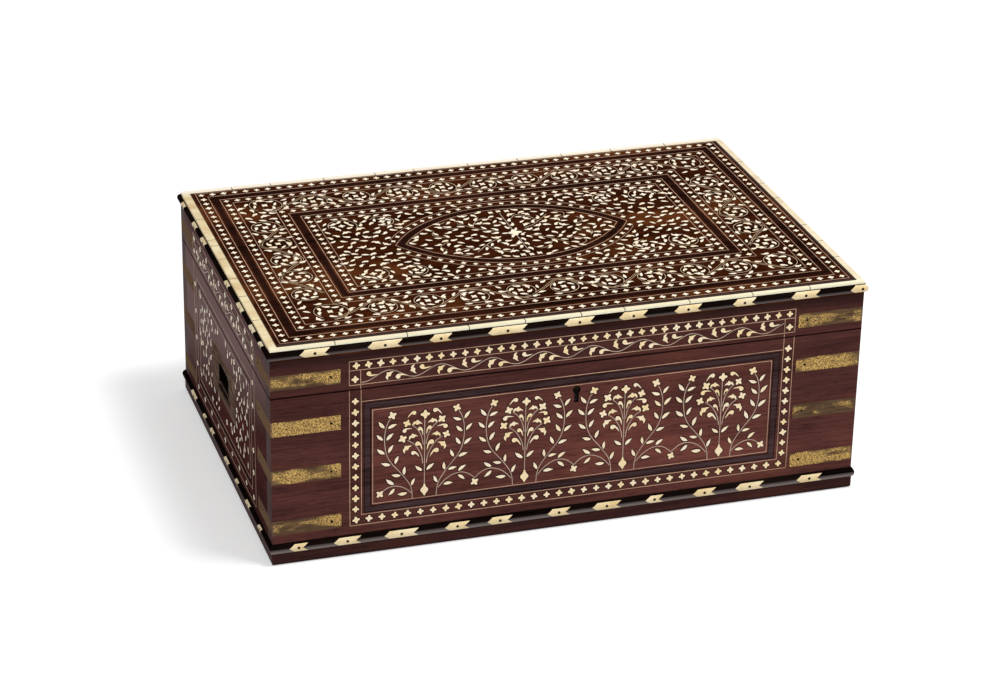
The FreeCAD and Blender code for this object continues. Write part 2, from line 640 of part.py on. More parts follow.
# The bone came in short lengths. Their joints lie at these shares of each run, from its left or front end
BANDING_CUTS = {
    "front": (0.105, 0.222, 0.323, 0.416, 0.510, 0.583, 0.694, 0.803, 0.903),
    "back": (0.089, 0.158, 0.254, 0.347, 0.418, 0.518, 0.611, 0.694, 0.788, 0.891),
    "left": (0.155, 0.303, 0.416, 0.547, 0.635, 0.674, 0.819),
    "right": (0.140, 0.250, 0.362, 0.558, 0.666, 0.831),
}


def banding_run(side, length, start, step, cross):
    """Lengths of bone laid end to end with fine joints."""
    foot, joint = size("box_height") - size("band_thickness"), size("band_joint")
    ends = [0.0, *BANDING_CUTS[side], 1.0]
    run = []
    for first, last in zip(ends, ends[1:]):
        piece = step * ((last - first) * length - joint) + cross * size("band_width")
        corner = start + step * (first * length + joint / 2) + UP * foot
        run.append(Part.makeBox(piece.x, piece.y, size("band_thickness"), corner))
    return run


x_step, y_step = FreeCAD.Vector(1, 0, 0), FreeCAD.Vector(0, 1, 0)
half_width, half_depth, band = size("box_width") / 2, size("box_depth") / 2, size("band_width")
banding = []
for side, y in (("front", -half_depth), ("back", half_depth - band)):
    banding += banding_run(side, 2 * half_width, FreeCAD.Vector(-half_width, y, 0), x_step, y_step)
for side, x in (("left", -half_width), ("right", half_width - band)):
    spot = FreeCAD.Vector(x, band - half_depth, 0)
    banding += banding_run(side, 2 * (half_depth - band), spot, y_step, x_step)
node("lid_bone_banding", formed("lid_bone_banding", banding))

# Beads: mitred half-round lengths. Each is shaped with its back on the plane Y = 0, then set on its face
BEAD_SIDES = {
    "front": (RIGHT, ("0", FRONT), 180),
    "back": (RIGHT, ("0", BACK), 0),
    "left": (BACK, (LEFT, "0"), 90),
    "right": (BACK, (RIGHT, "0"), -90),
}

# The plaques are spaced by hand: each has a place, as a share of half its face to the right of the middle as
# one looks at that face, and a length in millimetres. The back repeats the front and the ends are alike
LONG_PLAQUES = {
    "lid": ((-0.857, 22.3), (-0.631, 25.8), (-0.449, 17.2), (-0.229, 29.8), (0.011, 23.5),
            (0.193, 22.4), (0.380, 21.9), (0.575, 18.9), (0.789, 23.5), (0.990, 19.8)),
    "base": ((-0.916, 14.0), (-0.755, 20.7), (-0.575, 26.1), (-0.387, 19.1), (-0.242, 19.5), (-0.040, 18.0),
             (0.126, 22.8), (0.293, 14.5), (0.470, 18.7), (0.631, 23.2), (0.846, 21.1)),
}
END_PLAQUES = {
    "lid": ((-0.879, 14.0), (-0.601, 16.0), (-0.389, 18.0), (0.154, 15.0), (0.438, 20.0),
            (0.691, 17.0), (0.870, 12.0)),
    "base": ((-0.728, 21.0), (-0.466, 12.0), (-0.286, 15.0), (0.054, 17.0), (0.287, 12.0),
             (0.529, 16.0), (0.785, 13.0)),
}


def arrow_seats(half_length, height, plaques):
    """Blocks of arrow outline along a bead, and the pin in the middle of each."""
    reach, half, point = size("bead_reach"), size("plaque_height") / 2, size("plaque_point")
    middle = size(height) / 2
    radius = (middle ** 2 + reach ** 2) / (2 * reach)
    bed = reach - radius + math.sqrt(radius ** 2 - half ** 2) - size("plaque_edge")
    arrows, pins = [], []
    for place_share, length in plaques:
        x = -place_share * half_length
        tip, tail = x + length / 2, x - length / 2
        arrow = [(tip, 0), (tip - point, half), (tail, half),
                 (tail + point, 0), (tail, -half), (tip - point, -half)]
        corners = [FreeCAD.Vector(px, bed, middle + pz) for px, pz in arrow]
        face = Part.Face(Part.makePolygon(corners + corners[:1]))
        arrows.append(face.extrude(OUTWARD * reach))
        pin_foot = FreeCAD.Vector(x, bed, middle)
        pins.append(Part.makeCylinder(size("plaque_pin_radius"), reach - bed, pin_foot, OUTWARD))
    return arrows, pins


BEADS = {"base": ("base_bead_height", "plinth_height"),
         "lid": ("lid_bead_height", "box_height - lid_bead_drop - lid_bead_height")}
for part, (height, foot) in BEADS.items():
    plaque_runs, pin_runs = [], []
    for side, (half, (x, y), angle) in BEAD_SIDES.items():
        name = f"{part}_bead_{side}"
        spot, turn = (x, y, foot), FreeCAD.Rotation(UP, angle)
        wedge = doc.addObject("Part::Wedge", f"{name}_mitre")
        limits = {"Xmin": f"-({half})", "Xmax": half,
                  "X2min": f"-({half} + bead_reach)", "X2max": f"{half} + bead_reach",
                  "Ymin": "0", "Ymax": "bead_reach",
                  "Zmin": "0", "Z2min": "0", "Zmax": height, "Z2max": height}
        for prop, formula in limits.items():
            bind(wedge, prop, formula)
        round_radius = f"(({height} ^ 2 / 4 + bead_reach ^ 2) / (2 * bead_reach))"
        roll = rod(f"{name}_round", round_radius, f"2 * ({half} + bead_reach)",
                   (f"-({half} + bead_reach)", f"bead_reach - {round_radius}", f"{height} / 2"), "x")
        half_round = common(f"{name}_half_round", wedge, roll)
        if side in ("front", "back"):
            arrows, pins = arrow_seats(size("box_width") / 2, height, LONG_PLAQUES[part])
        else:
            arrows, pins = arrow_seats(size("box_depth") / 2, height, END_PLAQUES[part])
        seats = formed(f"{name}_seats", arrows)
        pin_seats = formed(f"{name}_pin_seats", pins)
        plaques = cut(f"{name}_plaques", common(f"{name}_bone", half_round, seats), pin_seats)
        node(name, place(cut(name, half_round, seats), spot, turn))
        plaque_runs.append(place(plaques, spot, turn))
        pin_runs.append(place(group(f"{name}_pins", [pin_seats]), spot, turn))
    node(f"{part}_bone_plaques", group(f"{part}_bone_plaques", plaque_runs))
    node(f"{part}_plaque_pins", group(f"{part}_plaque_pins", pin_runs))

# Mirror under the lid panel, held by four lipped strips
STRIP_EDGE = "(mirror_frame_width - mirror_frame_lap)"
MIRROR_LENGTH = f"(box_width - 2 * (wall + mirror_end_margin + {STRIP_EDGE}))"
MIRROR_DEPTH = f"(box_depth - 2 * (wall + mirror_side_margin + {STRIP_EDGE}))"
mirror = node("mirror_glass", block("mirror_glass", about("0", MIRROR_LENGTH), about("0", MIRROR_DEPTH),
                                    (f"{PANEL_FOOT} - mirror_thickness", PANEL_FOOT)))
strip_rise = (f"{PANEL_FOOT} - mirror_frame_height", PANEL_FOOT)
strips = []
for sign in (-1, 1):
    long_side, short_side = (mirrored(sign, f"{side} / 2 - mirror_frame_lap", f"{side} / 2 + {STRIP_EDGE}")
                             for side in (MIRROR_DEPTH, MIRROR_LENGTH))
    long_strip = block(f"mirror_strip_long_{sign}", about("0", f"{MIRROR_LENGTH} + 2 * {STRIP_EDGE}"),
                       long_side, strip_rise)
    short_strip = block(f"mirror_strip_short_{sign}", short_side,
                        about("0", f"{MIRROR_DEPTH} - 2 * mirror_frame_lap"), strip_rise)
    strips += [long_strip, short_strip]
node("mirror_frame", cut("mirror_frame", group("mirror_strips", strips), mirror))

# Tray that lifts out of the case, on a bearer at each end
TRAY_RIGHT = f"({INNER_RIGHT} - tray_clearance)"
TRAY_BACK = f"({INNER_BACK} - tray_clearance)"
TRAY_TOP = f"({SEAM} - tray_below_seam)"
TRAY_FOOT = f"({TRAY_TOP} - tray_height)"
TRAY_FLOOR = f"({TRAY_FOOT} + tray_floor)"
tray_rise = (TRAY_FLOOR, TRAY_TOP)
inside_ends = (f"-({TRAY_RIGHT} - tray_wall)", f"{TRAY_RIGHT} - tray_wall")
node("tray_bearers", group("tray_bearers", [
    block(f"tray_bearer_{sign}", mirrored(sign, f"{INNER_RIGHT} - bearer_width", INNER_RIGHT),
          BETWEEN_FRONT_AND_BACK, (f"{TRAY_FOOT} - bearer_height", TRAY_FOOT)) for sign in (-1, 1)]))
node("tray_floor_board", block("tray_floor_board", (f"-{TRAY_RIGHT}", TRAY_RIGHT),
                               (f"-{TRAY_BACK}", TRAY_BACK), (TRAY_FOOT, TRAY_FLOOR)))
node("tray_long_walls", group("tray_long_walls", [
    block(f"tray_long_wall_{sign}", (f"-{TRAY_RIGHT}", TRAY_RIGHT),
          mirrored(sign, f"{TRAY_BACK} - tray_wall", TRAY_BACK), tray_rise) for sign in (-1, 1)]))
node("tray_end_walls", group("tray_end_walls", [
    block(f"tray_end_wall_{sign}", mirrored(sign, f"{TRAY_RIGHT} - tray_wall", TRAY_RIGHT),
          (f"-({TRAY_BACK} - tray_wall)", f"{TRAY_BACK} - tray_wall"), tray_rise) for sign in (-1, 1)]))
divider_span = about("0", "divider_thickness")
node("tray_divider", cut(
    "tray_divider", block("tray_divider_blank", inside_ends, divider_span, tray_rise),
    block("carry_slot", about("0", "carry_slot_length"), divider_span,
          (f"{TRAY_TOP} - carry_slot_margin - carry_slot_height", f"{TRAY_TOP} - carry_slot_margin"))))
node("tray_partitions", group("tray_partitions", [
    block(f"tray_partition_{across}_{along}",
          about(f"{across} * partition_spread / 2", "partition_thickness"),
          mirrored(along, "divider_thickness / 2", f"{TRAY_BACK} - tray_wall"), tray_rise)
    for across, along in CORNERS]))

# Every piece is looked at before any is written
doc.recompute()
faults = [thing.Name for thing in doc.Objects if {"Invalid", "Error"} & set(thing.State)]
for label, piece in nodes.items():
    if piece.Shape.isNull() or not piece.Shape.isValid() or not piece.Shape.Solids:
        faults.append(label)
if faults:
    raise RuntimeError("pieces that failed: " + ", ".join(faults))
os.makedirs("parts", exist_ok=True)
for label, piece in nodes.items():
    solids = piece.Shape.Solids
    whole = solids[0] if len(solids) == 1 else Part.makeCompound(solids)
    whole.exportStep(os.path.join("parts", f"{label}.step"))
    print(label, len(solids), "solids", round(sum(solid.Volume for solid in solids)), "mm3")
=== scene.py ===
# %% [markdown]
# A rosewood dressing box with bone inlay, ebony beads and brass straps.
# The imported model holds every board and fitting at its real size. This script gives them their finishes and
# adds what is too fine for the model: the bone flowers, the vines and the stringing let into the wood.

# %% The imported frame
import math
import random

import bmesh
import bpy
from mathutils import Matrix, Vector


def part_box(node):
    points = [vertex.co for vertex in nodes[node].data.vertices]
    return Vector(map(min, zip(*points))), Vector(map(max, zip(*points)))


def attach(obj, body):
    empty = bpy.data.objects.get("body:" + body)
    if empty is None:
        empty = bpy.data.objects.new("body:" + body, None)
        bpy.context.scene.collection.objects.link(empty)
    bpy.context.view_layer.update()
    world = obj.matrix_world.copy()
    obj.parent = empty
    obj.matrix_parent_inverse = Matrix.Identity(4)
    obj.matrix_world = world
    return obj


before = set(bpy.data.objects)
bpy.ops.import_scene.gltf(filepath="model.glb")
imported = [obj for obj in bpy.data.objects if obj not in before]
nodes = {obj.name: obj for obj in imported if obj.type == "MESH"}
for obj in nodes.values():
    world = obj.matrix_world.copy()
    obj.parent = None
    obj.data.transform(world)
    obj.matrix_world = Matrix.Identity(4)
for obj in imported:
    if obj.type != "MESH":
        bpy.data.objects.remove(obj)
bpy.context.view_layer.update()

MM = 0.001

# %% [markdown]
# The photograph looks down on the front left corner through a long lens. The camera is set by its place and
# three angles, which say more to a reader than a matrix of numbers would.

# %% Camera
CAMERA_PLACE, CAMERA_LENS = (-0.6452, -1.9705, 1.0661), 107.08
CAMERA_TURN, CAMERA_FALL, CAMERA_ROLL = (math.radians(angle) for angle in (17.908, 25.451, 1.133))


def show(name, data):
    """An object with this data, linked into the scene."""
    shown = bpy.data.objects.new(name, data)
    bpy.context.scene.collection.objects.link(shown)
    return shown


lens = bpy.data.cameras.new("photo_camera")
lens.sensor_width, lens.lens = 36.0, CAMERA_LENS
camera = show("photo_camera", lens)
camera.matrix_world = (Matrix.Translation(CAMERA_PLACE) @ Matrix.Rotation(-CAMERA_TURN, 4, "Z")
                       @ Matrix.Rotation(math.pi / 2 - CAMERA_FALL, 4, "X") @ Matrix.Rotation(CAMERA_ROLL, 4, "Z"))
bpy.context.scene.camera = camera
bpy.context.scene.view_settings.view_transform = "Standard"
print("camera:", round(camera.location.length, 2), "m from the box, lens", round(lens.lens), "mm")

# %% [markdown]
# Nodes are wired many times below, so one helper adds a node, sets its options and fills its inputs. Another
# opens an empty node group with named sockets, for effects that several finishes share.

# %% Node helpers


def fill(tree, node, inputs):
    """Fill inputs by name or number, each with a value, a colour, an output, or a node for its first output."""
    for key, value in inputs.items():
        value = value.outputs[0] if isinstance(value, bpy.types.Node) else value
        if isinstance(value, bpy.types.NodeSocket):
            tree.links.new(value, node.inputs[key])
        else:
            node.inputs[key].default_value = (*value, 1.0) if node.inputs[key].type == "RGBA" else value


def wire(tree, kind, inputs=None, **options):
    """Add a node with its options and inputs."""
    node = tree.nodes.new(kind)
    for option, value in options.items():
        setattr(node, option, value)
    fill(tree, node, inputs or {})
    return node


def open_group(name, kind, inputs, outputs):
    """A node group with its sockets; gives the tree, its inputs by name and a function that closes it."""
    tree = bpy.data.node_groups.new(name, kind)
    for way, sockets in (("INPUT", inputs), ("OUTPUT", outputs)):
        for socket, data_type in sockets.items():
            tree.interface.new_socket(socket, in_out=way, socket_type=f"NodeSocket{data_type}")
    entry, leave = tree.nodes.new("NodeGroupInput"), tree.nodes.new("NodeGroupOutput")
    return tree, entry.outputs, lambda **results: fill(tree, leave, results)


def new_material(name):
    """A material with one Principled shader; gives the material, its tree and the shader."""
    material = bpy.data.materials.new(name)
    material.use_nodes = True
    return material, material.node_tree, material.node_tree.nodes["Principled BSDF"]


print("node helpers ready")

# %% [markdown]
# The box stands on white paper in a bright room. A plain white floor takes its soft shadow, and the world
# gives even light. The camera and mirror-like rays see both at full white, so the light on the box stays plain.

# %% Floor and world
FLOOR_COLOUR, FLOOR_GLOW, FLOOR_REACH = (0.78, 0.78, 0.78), 0.39, 6.0
ROOM_LIGHT, ROOM_WHITE = 0.45, 1.0


def maths(tree, operation, value, *others):
    """Values joined one after the other by Math nodes."""
    for other in others:
        value = wire(tree, "ShaderNodeMath", {0: value, 1: other}, operation=operation)
    return value


def product(tree, *values):
    """Values multiplied together."""
    return maths(tree, "MULTIPLY", *values)


def most(tree, *values):
    """The largest of some values."""
    return maths(tree, "MAXIMUM", *values)


def seen_directly(tree):
    """One where a ray comes from the camera, a reflection or a clear material; zero for lighting rays."""
    path = wire(tree, "ShaderNodeLightPath").outputs
    return most(tree, path["Is Camera Ray"], path["Is Glossy Ray"], path["Is Transmission Ray"])


paper, tree, _ = new_material("white_paper")
tree.nodes.clear()
diffuse = wire(tree, "ShaderNodeBsdfDiffuse", {"Color": FLOOR_COLOUR})
emission = wire(tree, "ShaderNodeEmission", {"Strength": product(tree, seen_directly(tree), FLOOR_GLOW)})
wire(tree, "ShaderNodeOutputMaterial", {"Surface": wire(tree, "ShaderNodeAddShader", {0: diffuse, 1: emission})})
floor_mesh = bpy.data.meshes.new("paper_floor")
floor_mesh.from_pydata([(x * FLOOR_REACH, y * FLOOR_REACH, 0.0) for x, y in ((-1, -1), (1, -1), (1, 1), (-1, 1))],
                       [], [(0, 1, 2, 3)])
floor_mesh.materials.append(paper)
floor = show("paper_floor", floor_mesh)

world = bpy.data.worlds.new("white_room")
world.use_nodes = True
bpy.context.scene.world = world
tree = world.node_tree
strength = wire(tree, "ShaderNodeMapRange", {"Value": seen_directly(tree), "To Min": ROOM_LIGHT, "To Max": ROOM_WHITE})
fill(tree, tree.nodes["Background"], {"Color": (1.0, 1.0, 1.0), "Strength": strength})
print("floor", 2 * FLOOR_REACH, "m wide, room light", ROOM_LIGHT)

# %% [markdown]
# The photograph's shadow falls to the left and is soft, so the main lamp is a wide panel high on the right.
# A weaker panel in front keeps the keyhole side readable.

# %% Lamps
LAMPS = {
    "window_panel": ((0.7, -0.55, 2.6), 0.8, 44.0),
    "front_panel": ((-0.7, -2.4, 1.5), 1.6, 18.0),
}
for name, (place, width, watts) in LAMPS.items():
    panel = bpy.data.lights.new(name, "AREA")
    panel.size, panel.energy = width, watts
    lamp = show(name, panel)
    lamp.location = place
    lamp.rotation_mode = "QUATERNION"
    lamp.rotation_quaternion = (-Vector(place)).to_track_quat("-Z", "Y")
print("lamps:", ", ".join(LAMPS))

# %% [markdown]
# Rosewood has long dark streaks, paler bands between them and short open pores. Noise that is stretched along
# the grain gives all three. The effect is a group, because the case, the lid panel and the tray all use it.

# %% Wood figure
SURFACE = {"Colour": "Color", "Roughness": "Float", "Height": "Float"}
figure, entry, close = open_group(
    "wood_figure", "ShaderNodeTree",
    {"Place": "Vector", "Dark": "Color", "Light": "Color", "Worn": "Color", "Worn Share": "Float"}, SURFACE)


def stretched_noise(tree, place, stretch, detail=3.0, distortion=0.0):
    """Noise whose features are long along the first axis; stretch is features per metre on each axis."""
    scaled = wire(tree, "ShaderNodeVectorMath", {0: place, 1: stretch}, operation="MULTIPLY")
    return wire(tree, "ShaderNodeTexNoise", {"Vector": scaled, "Scale": 1.0, "Detail": detail, "Roughness": 0.6,
                                             "Distortion": distortion}).outputs["Fac"]


def remap(tree, value, start, end, to_start=0.0, to_end=1.0):
    """A value on its way from start to end, moved to a new range and held inside it."""
    return wire(tree, "ShaderNodeMapRange", {"Value": value, "From Min": start, "From Max": end,
                                             "To Min": to_start, "To Max": to_end})


def blend_colour(tree, share, first, second):
    """A mix of two colours."""
    return wire(tree, "ShaderNodeMix", {0: share, 6: first, 7: second}, data_type="RGBA").outputs[2]


bands = stretched_noise(figure, entry["Place"], (6.0, 40.0, 40.0), 4.0, 0.8)
streaks = stretched_noise(figure, entry["Place"], (22.0, 620.0, 620.0), 4.0, 0.3)
pores = stretched_noise(figure, entry["Place"], (110.0, 1300.0, 1300.0), 1.0)
patches = stretched_noise(figure, entry["Place"], (9.0, 16.0, 16.0), 3.0, 0.5)
light_share = remap(figure, maths(figure, "ADD", bands, streaks), 0.74, 1.26)
wood = blend_colour(figure, light_share, entry["Dark"], entry["Light"])
worn_share = product(figure, remap(figure, patches, 0.52, 0.68), entry["Worn Share"])
worn = blend_colour(figure, worn_share, wood, entry["Worn"])
pore_marks = remap(figure, pores, 0.58, 0.70)
close(Colour=blend_colour(figure, product(figure, pore_marks, 0.45), worn, (0.008, 0.003, 0.002)),
      Roughness=remap(figure, streaks, 0.3, 0.7, 0.40, 0.56), Height=maths(figure, "SUBTRACT", streaks, pore_marks))
print("wood figure:", len(figure.nodes), "nodes")

# %% [markdown]
# The front panel is left bright, while painted shade darkens the wood at the foot, under the beads, in the keyhole
# and around the panel. A painted grey sheen lies on the ends towards the top and the back, and a painted
# reflection of the table lies on the lower halves of the beads. Each of these is a share, worked out from the place on
# the box.

# %% Painted shade, sheen and reflection on the wood
BOX_HEIGHT, PANEL_EDGE, KEYHOLE_EDGE = 0.172, 0.006, 0.0001
FRONT_PANEL, KEYHOLE = (("X", 0.002, 0.149), ("Z", 0.0778, 0.035)), (("X", 0.0025, 0.0040), ("Z", 0.1085, 0.0075))
# Levels of painted shade up the front, as shares of the height: darkest at the foot and under the two beads.
SHADE_BY_HEIGHT = [(0.0, 1.0), (1.0, 0.85), (0.009, 0.95), (0.017, 0.72), (0.05, 0.72), (0.08, 0.40), (0.27, 0.36),
                  (0.5, 0.44), (0.71, 0.58), (0.75, 0.46), (0.80, 0.52), (0.89, 0.60), (0.93, 0.84)]


def ramp(tree, value, stops):
    """A level read from a row of stops, each a share of the way and its level; the two ends come first."""
    node = wire(tree, "ShaderNodeValToRGB", {0: value})
    elements = node.color_ramp.elements
    for index, (place, level) in enumerate(stops):
        element = elements[index] if index < 2 else elements.new(place)
        element.position, element.color = place, (level, level, level, 1.0)
    return node


def off(tree, value, middle=0.0):
    """How far a value is from a middle."""
    return wire(tree, "ShaderNodeMath", {0: maths(tree, "SUBTRACT", value, middle)}, operation="ABSOLUTE")


def inside(tree, axes, limits, edge):
    """One within half a width of a middle on each of some axes, and zero beyond a soft edge."""
    return product(tree, *(remap(tree, off(tree, axes[axis], middle), half + edge, half)
                           for axis, middle, half in limits))


def painted_shade_of_front(tree, axes):
    """The share of painted shade on the long boards: darkest at the foot, under the beads and in the keyhole, and
    darker around the panel.
    """
    by_height = ramp(tree, remap(tree, axes["Z"], 0.0, BOX_HEIGHT), SHADE_BY_HEIGHT)
    off_panel = most(tree, *(remap(tree, off(tree, axes[axis], middle), half, half + PANEL_EDGE)
                             for axis, middle, half in FRONT_PANEL))
    # The keyhole's sunk walls are painted black as shade.
    keyhole_shade = product(tree, remap(tree, axes["Y"], -0.1488, -0.1484), remap(tree, axes["Y"], -0.129, -0.130),
                         inside(tree, axes, KEYHOLE, KEYHOLE_EDGE))
    # Also darker on the ends of the boards and towards the top of the panel.
    at_ends = remap(tree, off(tree, axes["X"]), 0.2246, 0.2249, 0.0, 0.72)
    on_panel = remap(tree, axes["Z"], 0.045, 0.105, 0.05, 0.25)
    return most(tree, at_ends, on_panel, product(tree, by_height, off_panel), keyhole_shade)


def painted_sheen_of_ends(tree, axes):
    """The share of a painted grey sheen on the end boards, growing towards the back and the top and weaker under the
    lid's bead.
    """
    back_and_up = maths(tree, "ADD", product(tree, axes["Y"], 0.29), axes["Z"])
    return product(tree, remap(tree, back_and_up, 0.056, 0.112), remap(tree, axes["Z"], 0.128, 0.165, 0.75, 0.2))


def painted_reflection_under_beads(tree, axes):
    """The share of a painted reflection of the table on the lower halves of the beads."""
    lid = product(tree, remap(tree, axes["Z"], 0.1648, 0.1668, 0.6, 0.0), remap(tree, axes["Z"], 0.09, 0.10))
    base = product(tree, remap(tree, axes["Z"], 0.0142, 0.0116), remap(tree, axes["Z"], 0.0092, 0.0102))
    return most(tree, lid, base)


print("dirt has", len(SHADE_BY_HEIGHT), "levels up the front")

# %% [markdown]
# Each finish places the group of its effect with its own colours, and lays such shares of painted shade, painted sheen,
# wear or tone over it. The boards of the ends run front to back, so their grain is turned a quarter with a Mapping
# node.

# %% Wooden finishes


def make_finish(name, effect, values, relief, gloss, layers=(), quarter_turns=0, shine=False):
    """A material from an effect; a layer is a share and its colour, and relief is a strength and a depth."""
    material, tree, shader = new_material(name)
    place = wire(tree, "ShaderNodeTexCoord").outputs["Object"]
    axes = wire(tree, "ShaderNodeSeparateXYZ", {0: place}).outputs
    turned = wire(tree, "ShaderNodeMapping", {"Vector": place, "Rotation": (0.0, 0.0, quarter_turns * math.pi / 2)})
    values = {key: value(tree, axes) if callable(value) else value for key, value in values.items()}
    made = wire(tree, "ShaderNodeGroup", {"Place": turned, **values}, node_tree=effect).outputs
    colour = made["Colour"]
    for share, over in layers:
        colour = blend_colour(tree, share(tree, axes), colour, over)
    bump = wire(tree, "ShaderNodeBump", {"Height": made["Height"], "Strength": relief[0], "Distance": relief[1] * MM})
    fill(tree, shader, {"Base Color": colour, "Roughness": made["Roughness"], "Normal": bump,
                        "Specular IOR Level": gloss})
    if shine:
        fill(tree, shader, {"Metallic": made["Metallic"]})
    return material


def wooden(name, dark, light, worn, worn_share, gloss=0.0, layers=(), quarter_turns=0):
    """A polished wood."""
    values = {"Dark": dark, "Light": light, "Worn": worn, "Worn Share": worn_share}
    return make_finish(name, figure, values, (0.35, 0.02), gloss, layers, quarter_turns)


# The long boards carry painted shade at the foot, under the beads, in the keyhole and around the panel.
wood_long = wooden("rosewood_long", (0.078, 0.025, 0.021), (0.182, 0.060, 0.049), (0.215, 0.067, 0.046), 0.6, 0.02,
                   [(painted_shade_of_front, (0.013, 0.0065, 0.007))])
# The end boards carry a painted grey sheen towards the top and the back.
wood_cross = wooden("rosewood_cross", (0.036, 0.0125, 0.0115), (0.088, 0.031, 0.030), (0.10, 0.032, 0.027), 0.5, 0.0,
                    [(painted_sheen_of_ends, (0.265, 0.178, 0.172))], quarter_turns=1)
wood_top = wooden("rosewood_top", (0.0110, 0.0024, 0.0008), (0.065, 0.0158, 0.0048), (0.17, 0.050, 0.013), 0.5)
tray_wood = wooden("sandalwood", (0.30, 0.15, 0.065), (0.52, 0.31, 0.15), (0.42, 0.22, 0.09), 0.4, 0.25)
front_band_wood = wooden("ebony_front", (0.022, 0.0124, 0.013), (0.075, 0.043, 0.046), (0.05, 0.03, 0.03), 0.4)
# The ebony bands of the ends carry the same painted sheen.
end_band_wood = wooden("ebony_end", (0.018, 0.008, 0.008), (0.045, 0.020, 0.020), (0.04, 0.016, 0.015), 0.4, 0.0,
                       [(painted_sheen_of_ends, (0.17, 0.112, 0.112))], quarter_turns=1)
band_wood = wooden("ebony_band", (0.005, 0.0022, 0.0015), (0.032, 0.0105, 0.0072), (0.03, 0.012, 0.009), 0.4)
# The beads carry a painted reflection of the table on their lower halves.
bead_wood = wooden("ebony_bead", (0.0020, 0.0012, 0.0010), (0.008, 0.0045, 0.0035), (0.02, 0.012, 0.010), 0.3, 0.0,
                   [(painted_reflection_under_beads, (0.20, 0.165, 0.155))])
print("woods:", ", ".join(wood.name for wood in (wood_long, wood_cross, wood_top, tray_wood, band_wood, bead_wood)))

# %% [markdown]
# Old bone is cream with fine streaks along its length, yellow in places and stained where dirt has settled.
# Inlaid bits also differ from each other, so they carry a value called tone, set when they are placed. The banding
# round the lid is bleached at the back, rubbed light at the front, and dark along its inner edge and in its joints.

# %% Bone
streaked, entry, close = open_group(
    "bone_streak", "ShaderNodeTree", {"Place": "Vector", "Pale": "Color", "Yellow": "Color"}, SURFACE)
fibre = stretched_noise(streaked, entry["Place"], (70.0, 900.0, 900.0))
cloud = stretched_noise(streaked, entry["Place"], (45.0, 60.0, 60.0), 4.0, 0.6)
specks = stretched_noise(streaked, entry["Place"], (500.0, 1600.0, 1600.0), 2.0)
aged = blend_colour(streaked, remap(streaked, cloud, 0.36, 0.66), entry["Pale"], entry["Yellow"])
fibrous = blend_colour(streaked, remap(streaked, fibre, 0.5, 0.75, 0.0, 0.35), aged, (0.50, 0.36, 0.18))
stained = blend_colour(streaked, remap(streaked, specks, 0.66, 0.76, 0.0, 0.7), fibrous, (0.22, 0.13, 0.06))
close(Colour=stained, Roughness=remap(streaked, fibre, 0.3, 0.7, 0.32, 0.5), Height=fibre)


def boned(name, pale, yellow, gloss=0.4, layers=()):
    """Polished bone, or a pale strip like it."""
    return make_finish(name, streaked, {"Pale": pale, "Yellow": yellow}, (0.2, 0.02), gloss, layers)


def tone_of_bit(tree, axes):
    """The tone that a bit of inlay carries."""
    return wire(tree, "ShaderNodeAttribute", attribute_name="tone").outputs["Fac"]


def bleached(tree, axes):
    """The share of the banding that light has bleached."""
    return most(tree, remap(tree, axes["Y"], 0.139, 0.147, 0.0, 0.9), remap(tree, axes["X"], 0.10, 0.22, 0.0, 0.3))


def rubbed(tree, axes):
    """The share of the banding that hands have rubbed, at the front."""
    return most(tree, remap(tree, axes["Y"], -0.1486, -0.1489), remap(tree, axes["Y"], -0.146, -0.14, 0.5, 0.0))


def dark_edges(tree, axes):
    """One along the banding's inner edge and on the walls of its joints."""
    inner = product(tree, remap(tree, axes["Y"], -0.1460, -0.1456), remap(tree, axes["Y"], 0.1426, 0.1422),
                    remap(tree, axes["X"], 0.2202, 0.2198), remap(tree, axes["X"], -0.2192, -0.2188))
    normal = wire(tree, "ShaderNodeNewGeometry").outputs["True Normal"]
    facing = wire(tree, "ShaderNodeSeparateXYZ", {0: normal}).outputs
    joints = [product(tree, remap(tree, off(tree, facing[axis]), 0.5, 0.6),
                      remap(tree, off(tree, axes[axis]), reach + 0.0002, reach))
              for axis, reach in (("X", 0.2165), ("Y", 0.1405))]
    return most(tree, inner, *joints)


bone_band = boned("bone_band", (0.80, 0.68, 0.43), (0.62, 0.45, 0.23), 0.05,
                  [(bleached, (0.92, 0.85, 0.73)), (rubbed, (0.98, 0.92, 0.68)), (dark_edges, (0.020, 0.0055, 0.0024))])
bone_plaque = boned("bone_plaque", (0.87, 0.73, 0.46), (0.74, 0.54, 0.25))
bone_inlay = boned("bone_inlay", (0.99, 0.87, 0.72), (0.97, 0.79, 0.55), layers=[(tone_of_bit, (0.85, 0.60, 0.20))])
print("bone:", bone_band.name, bone_plaque.name, bone_inlay.name)

# %% [markdown]
# The straps were lacquered; where the lacquer has gone the brass is a bright gold grain, and the rest has
# turned brown. A coarse noise says where it is bright and a fine one breaks that into grains. The straps on the
# ends are darkened with painted shade. The handles and hinges are the same metal, but brown nearly all over,
# and the sunk parts and finger holes of the handles are painted black as shade.

# %% Metals
STRAP_LEVELS, STRAP_HALF = (0.0300, 0.0708, 0.1092, 0.1455), 0.00575
LEFT_WEAR, RIGHT_WEAR = (0.47, 0.50, 0.70, 0.55), (0.58, 0.41, 0.48, 0.48)
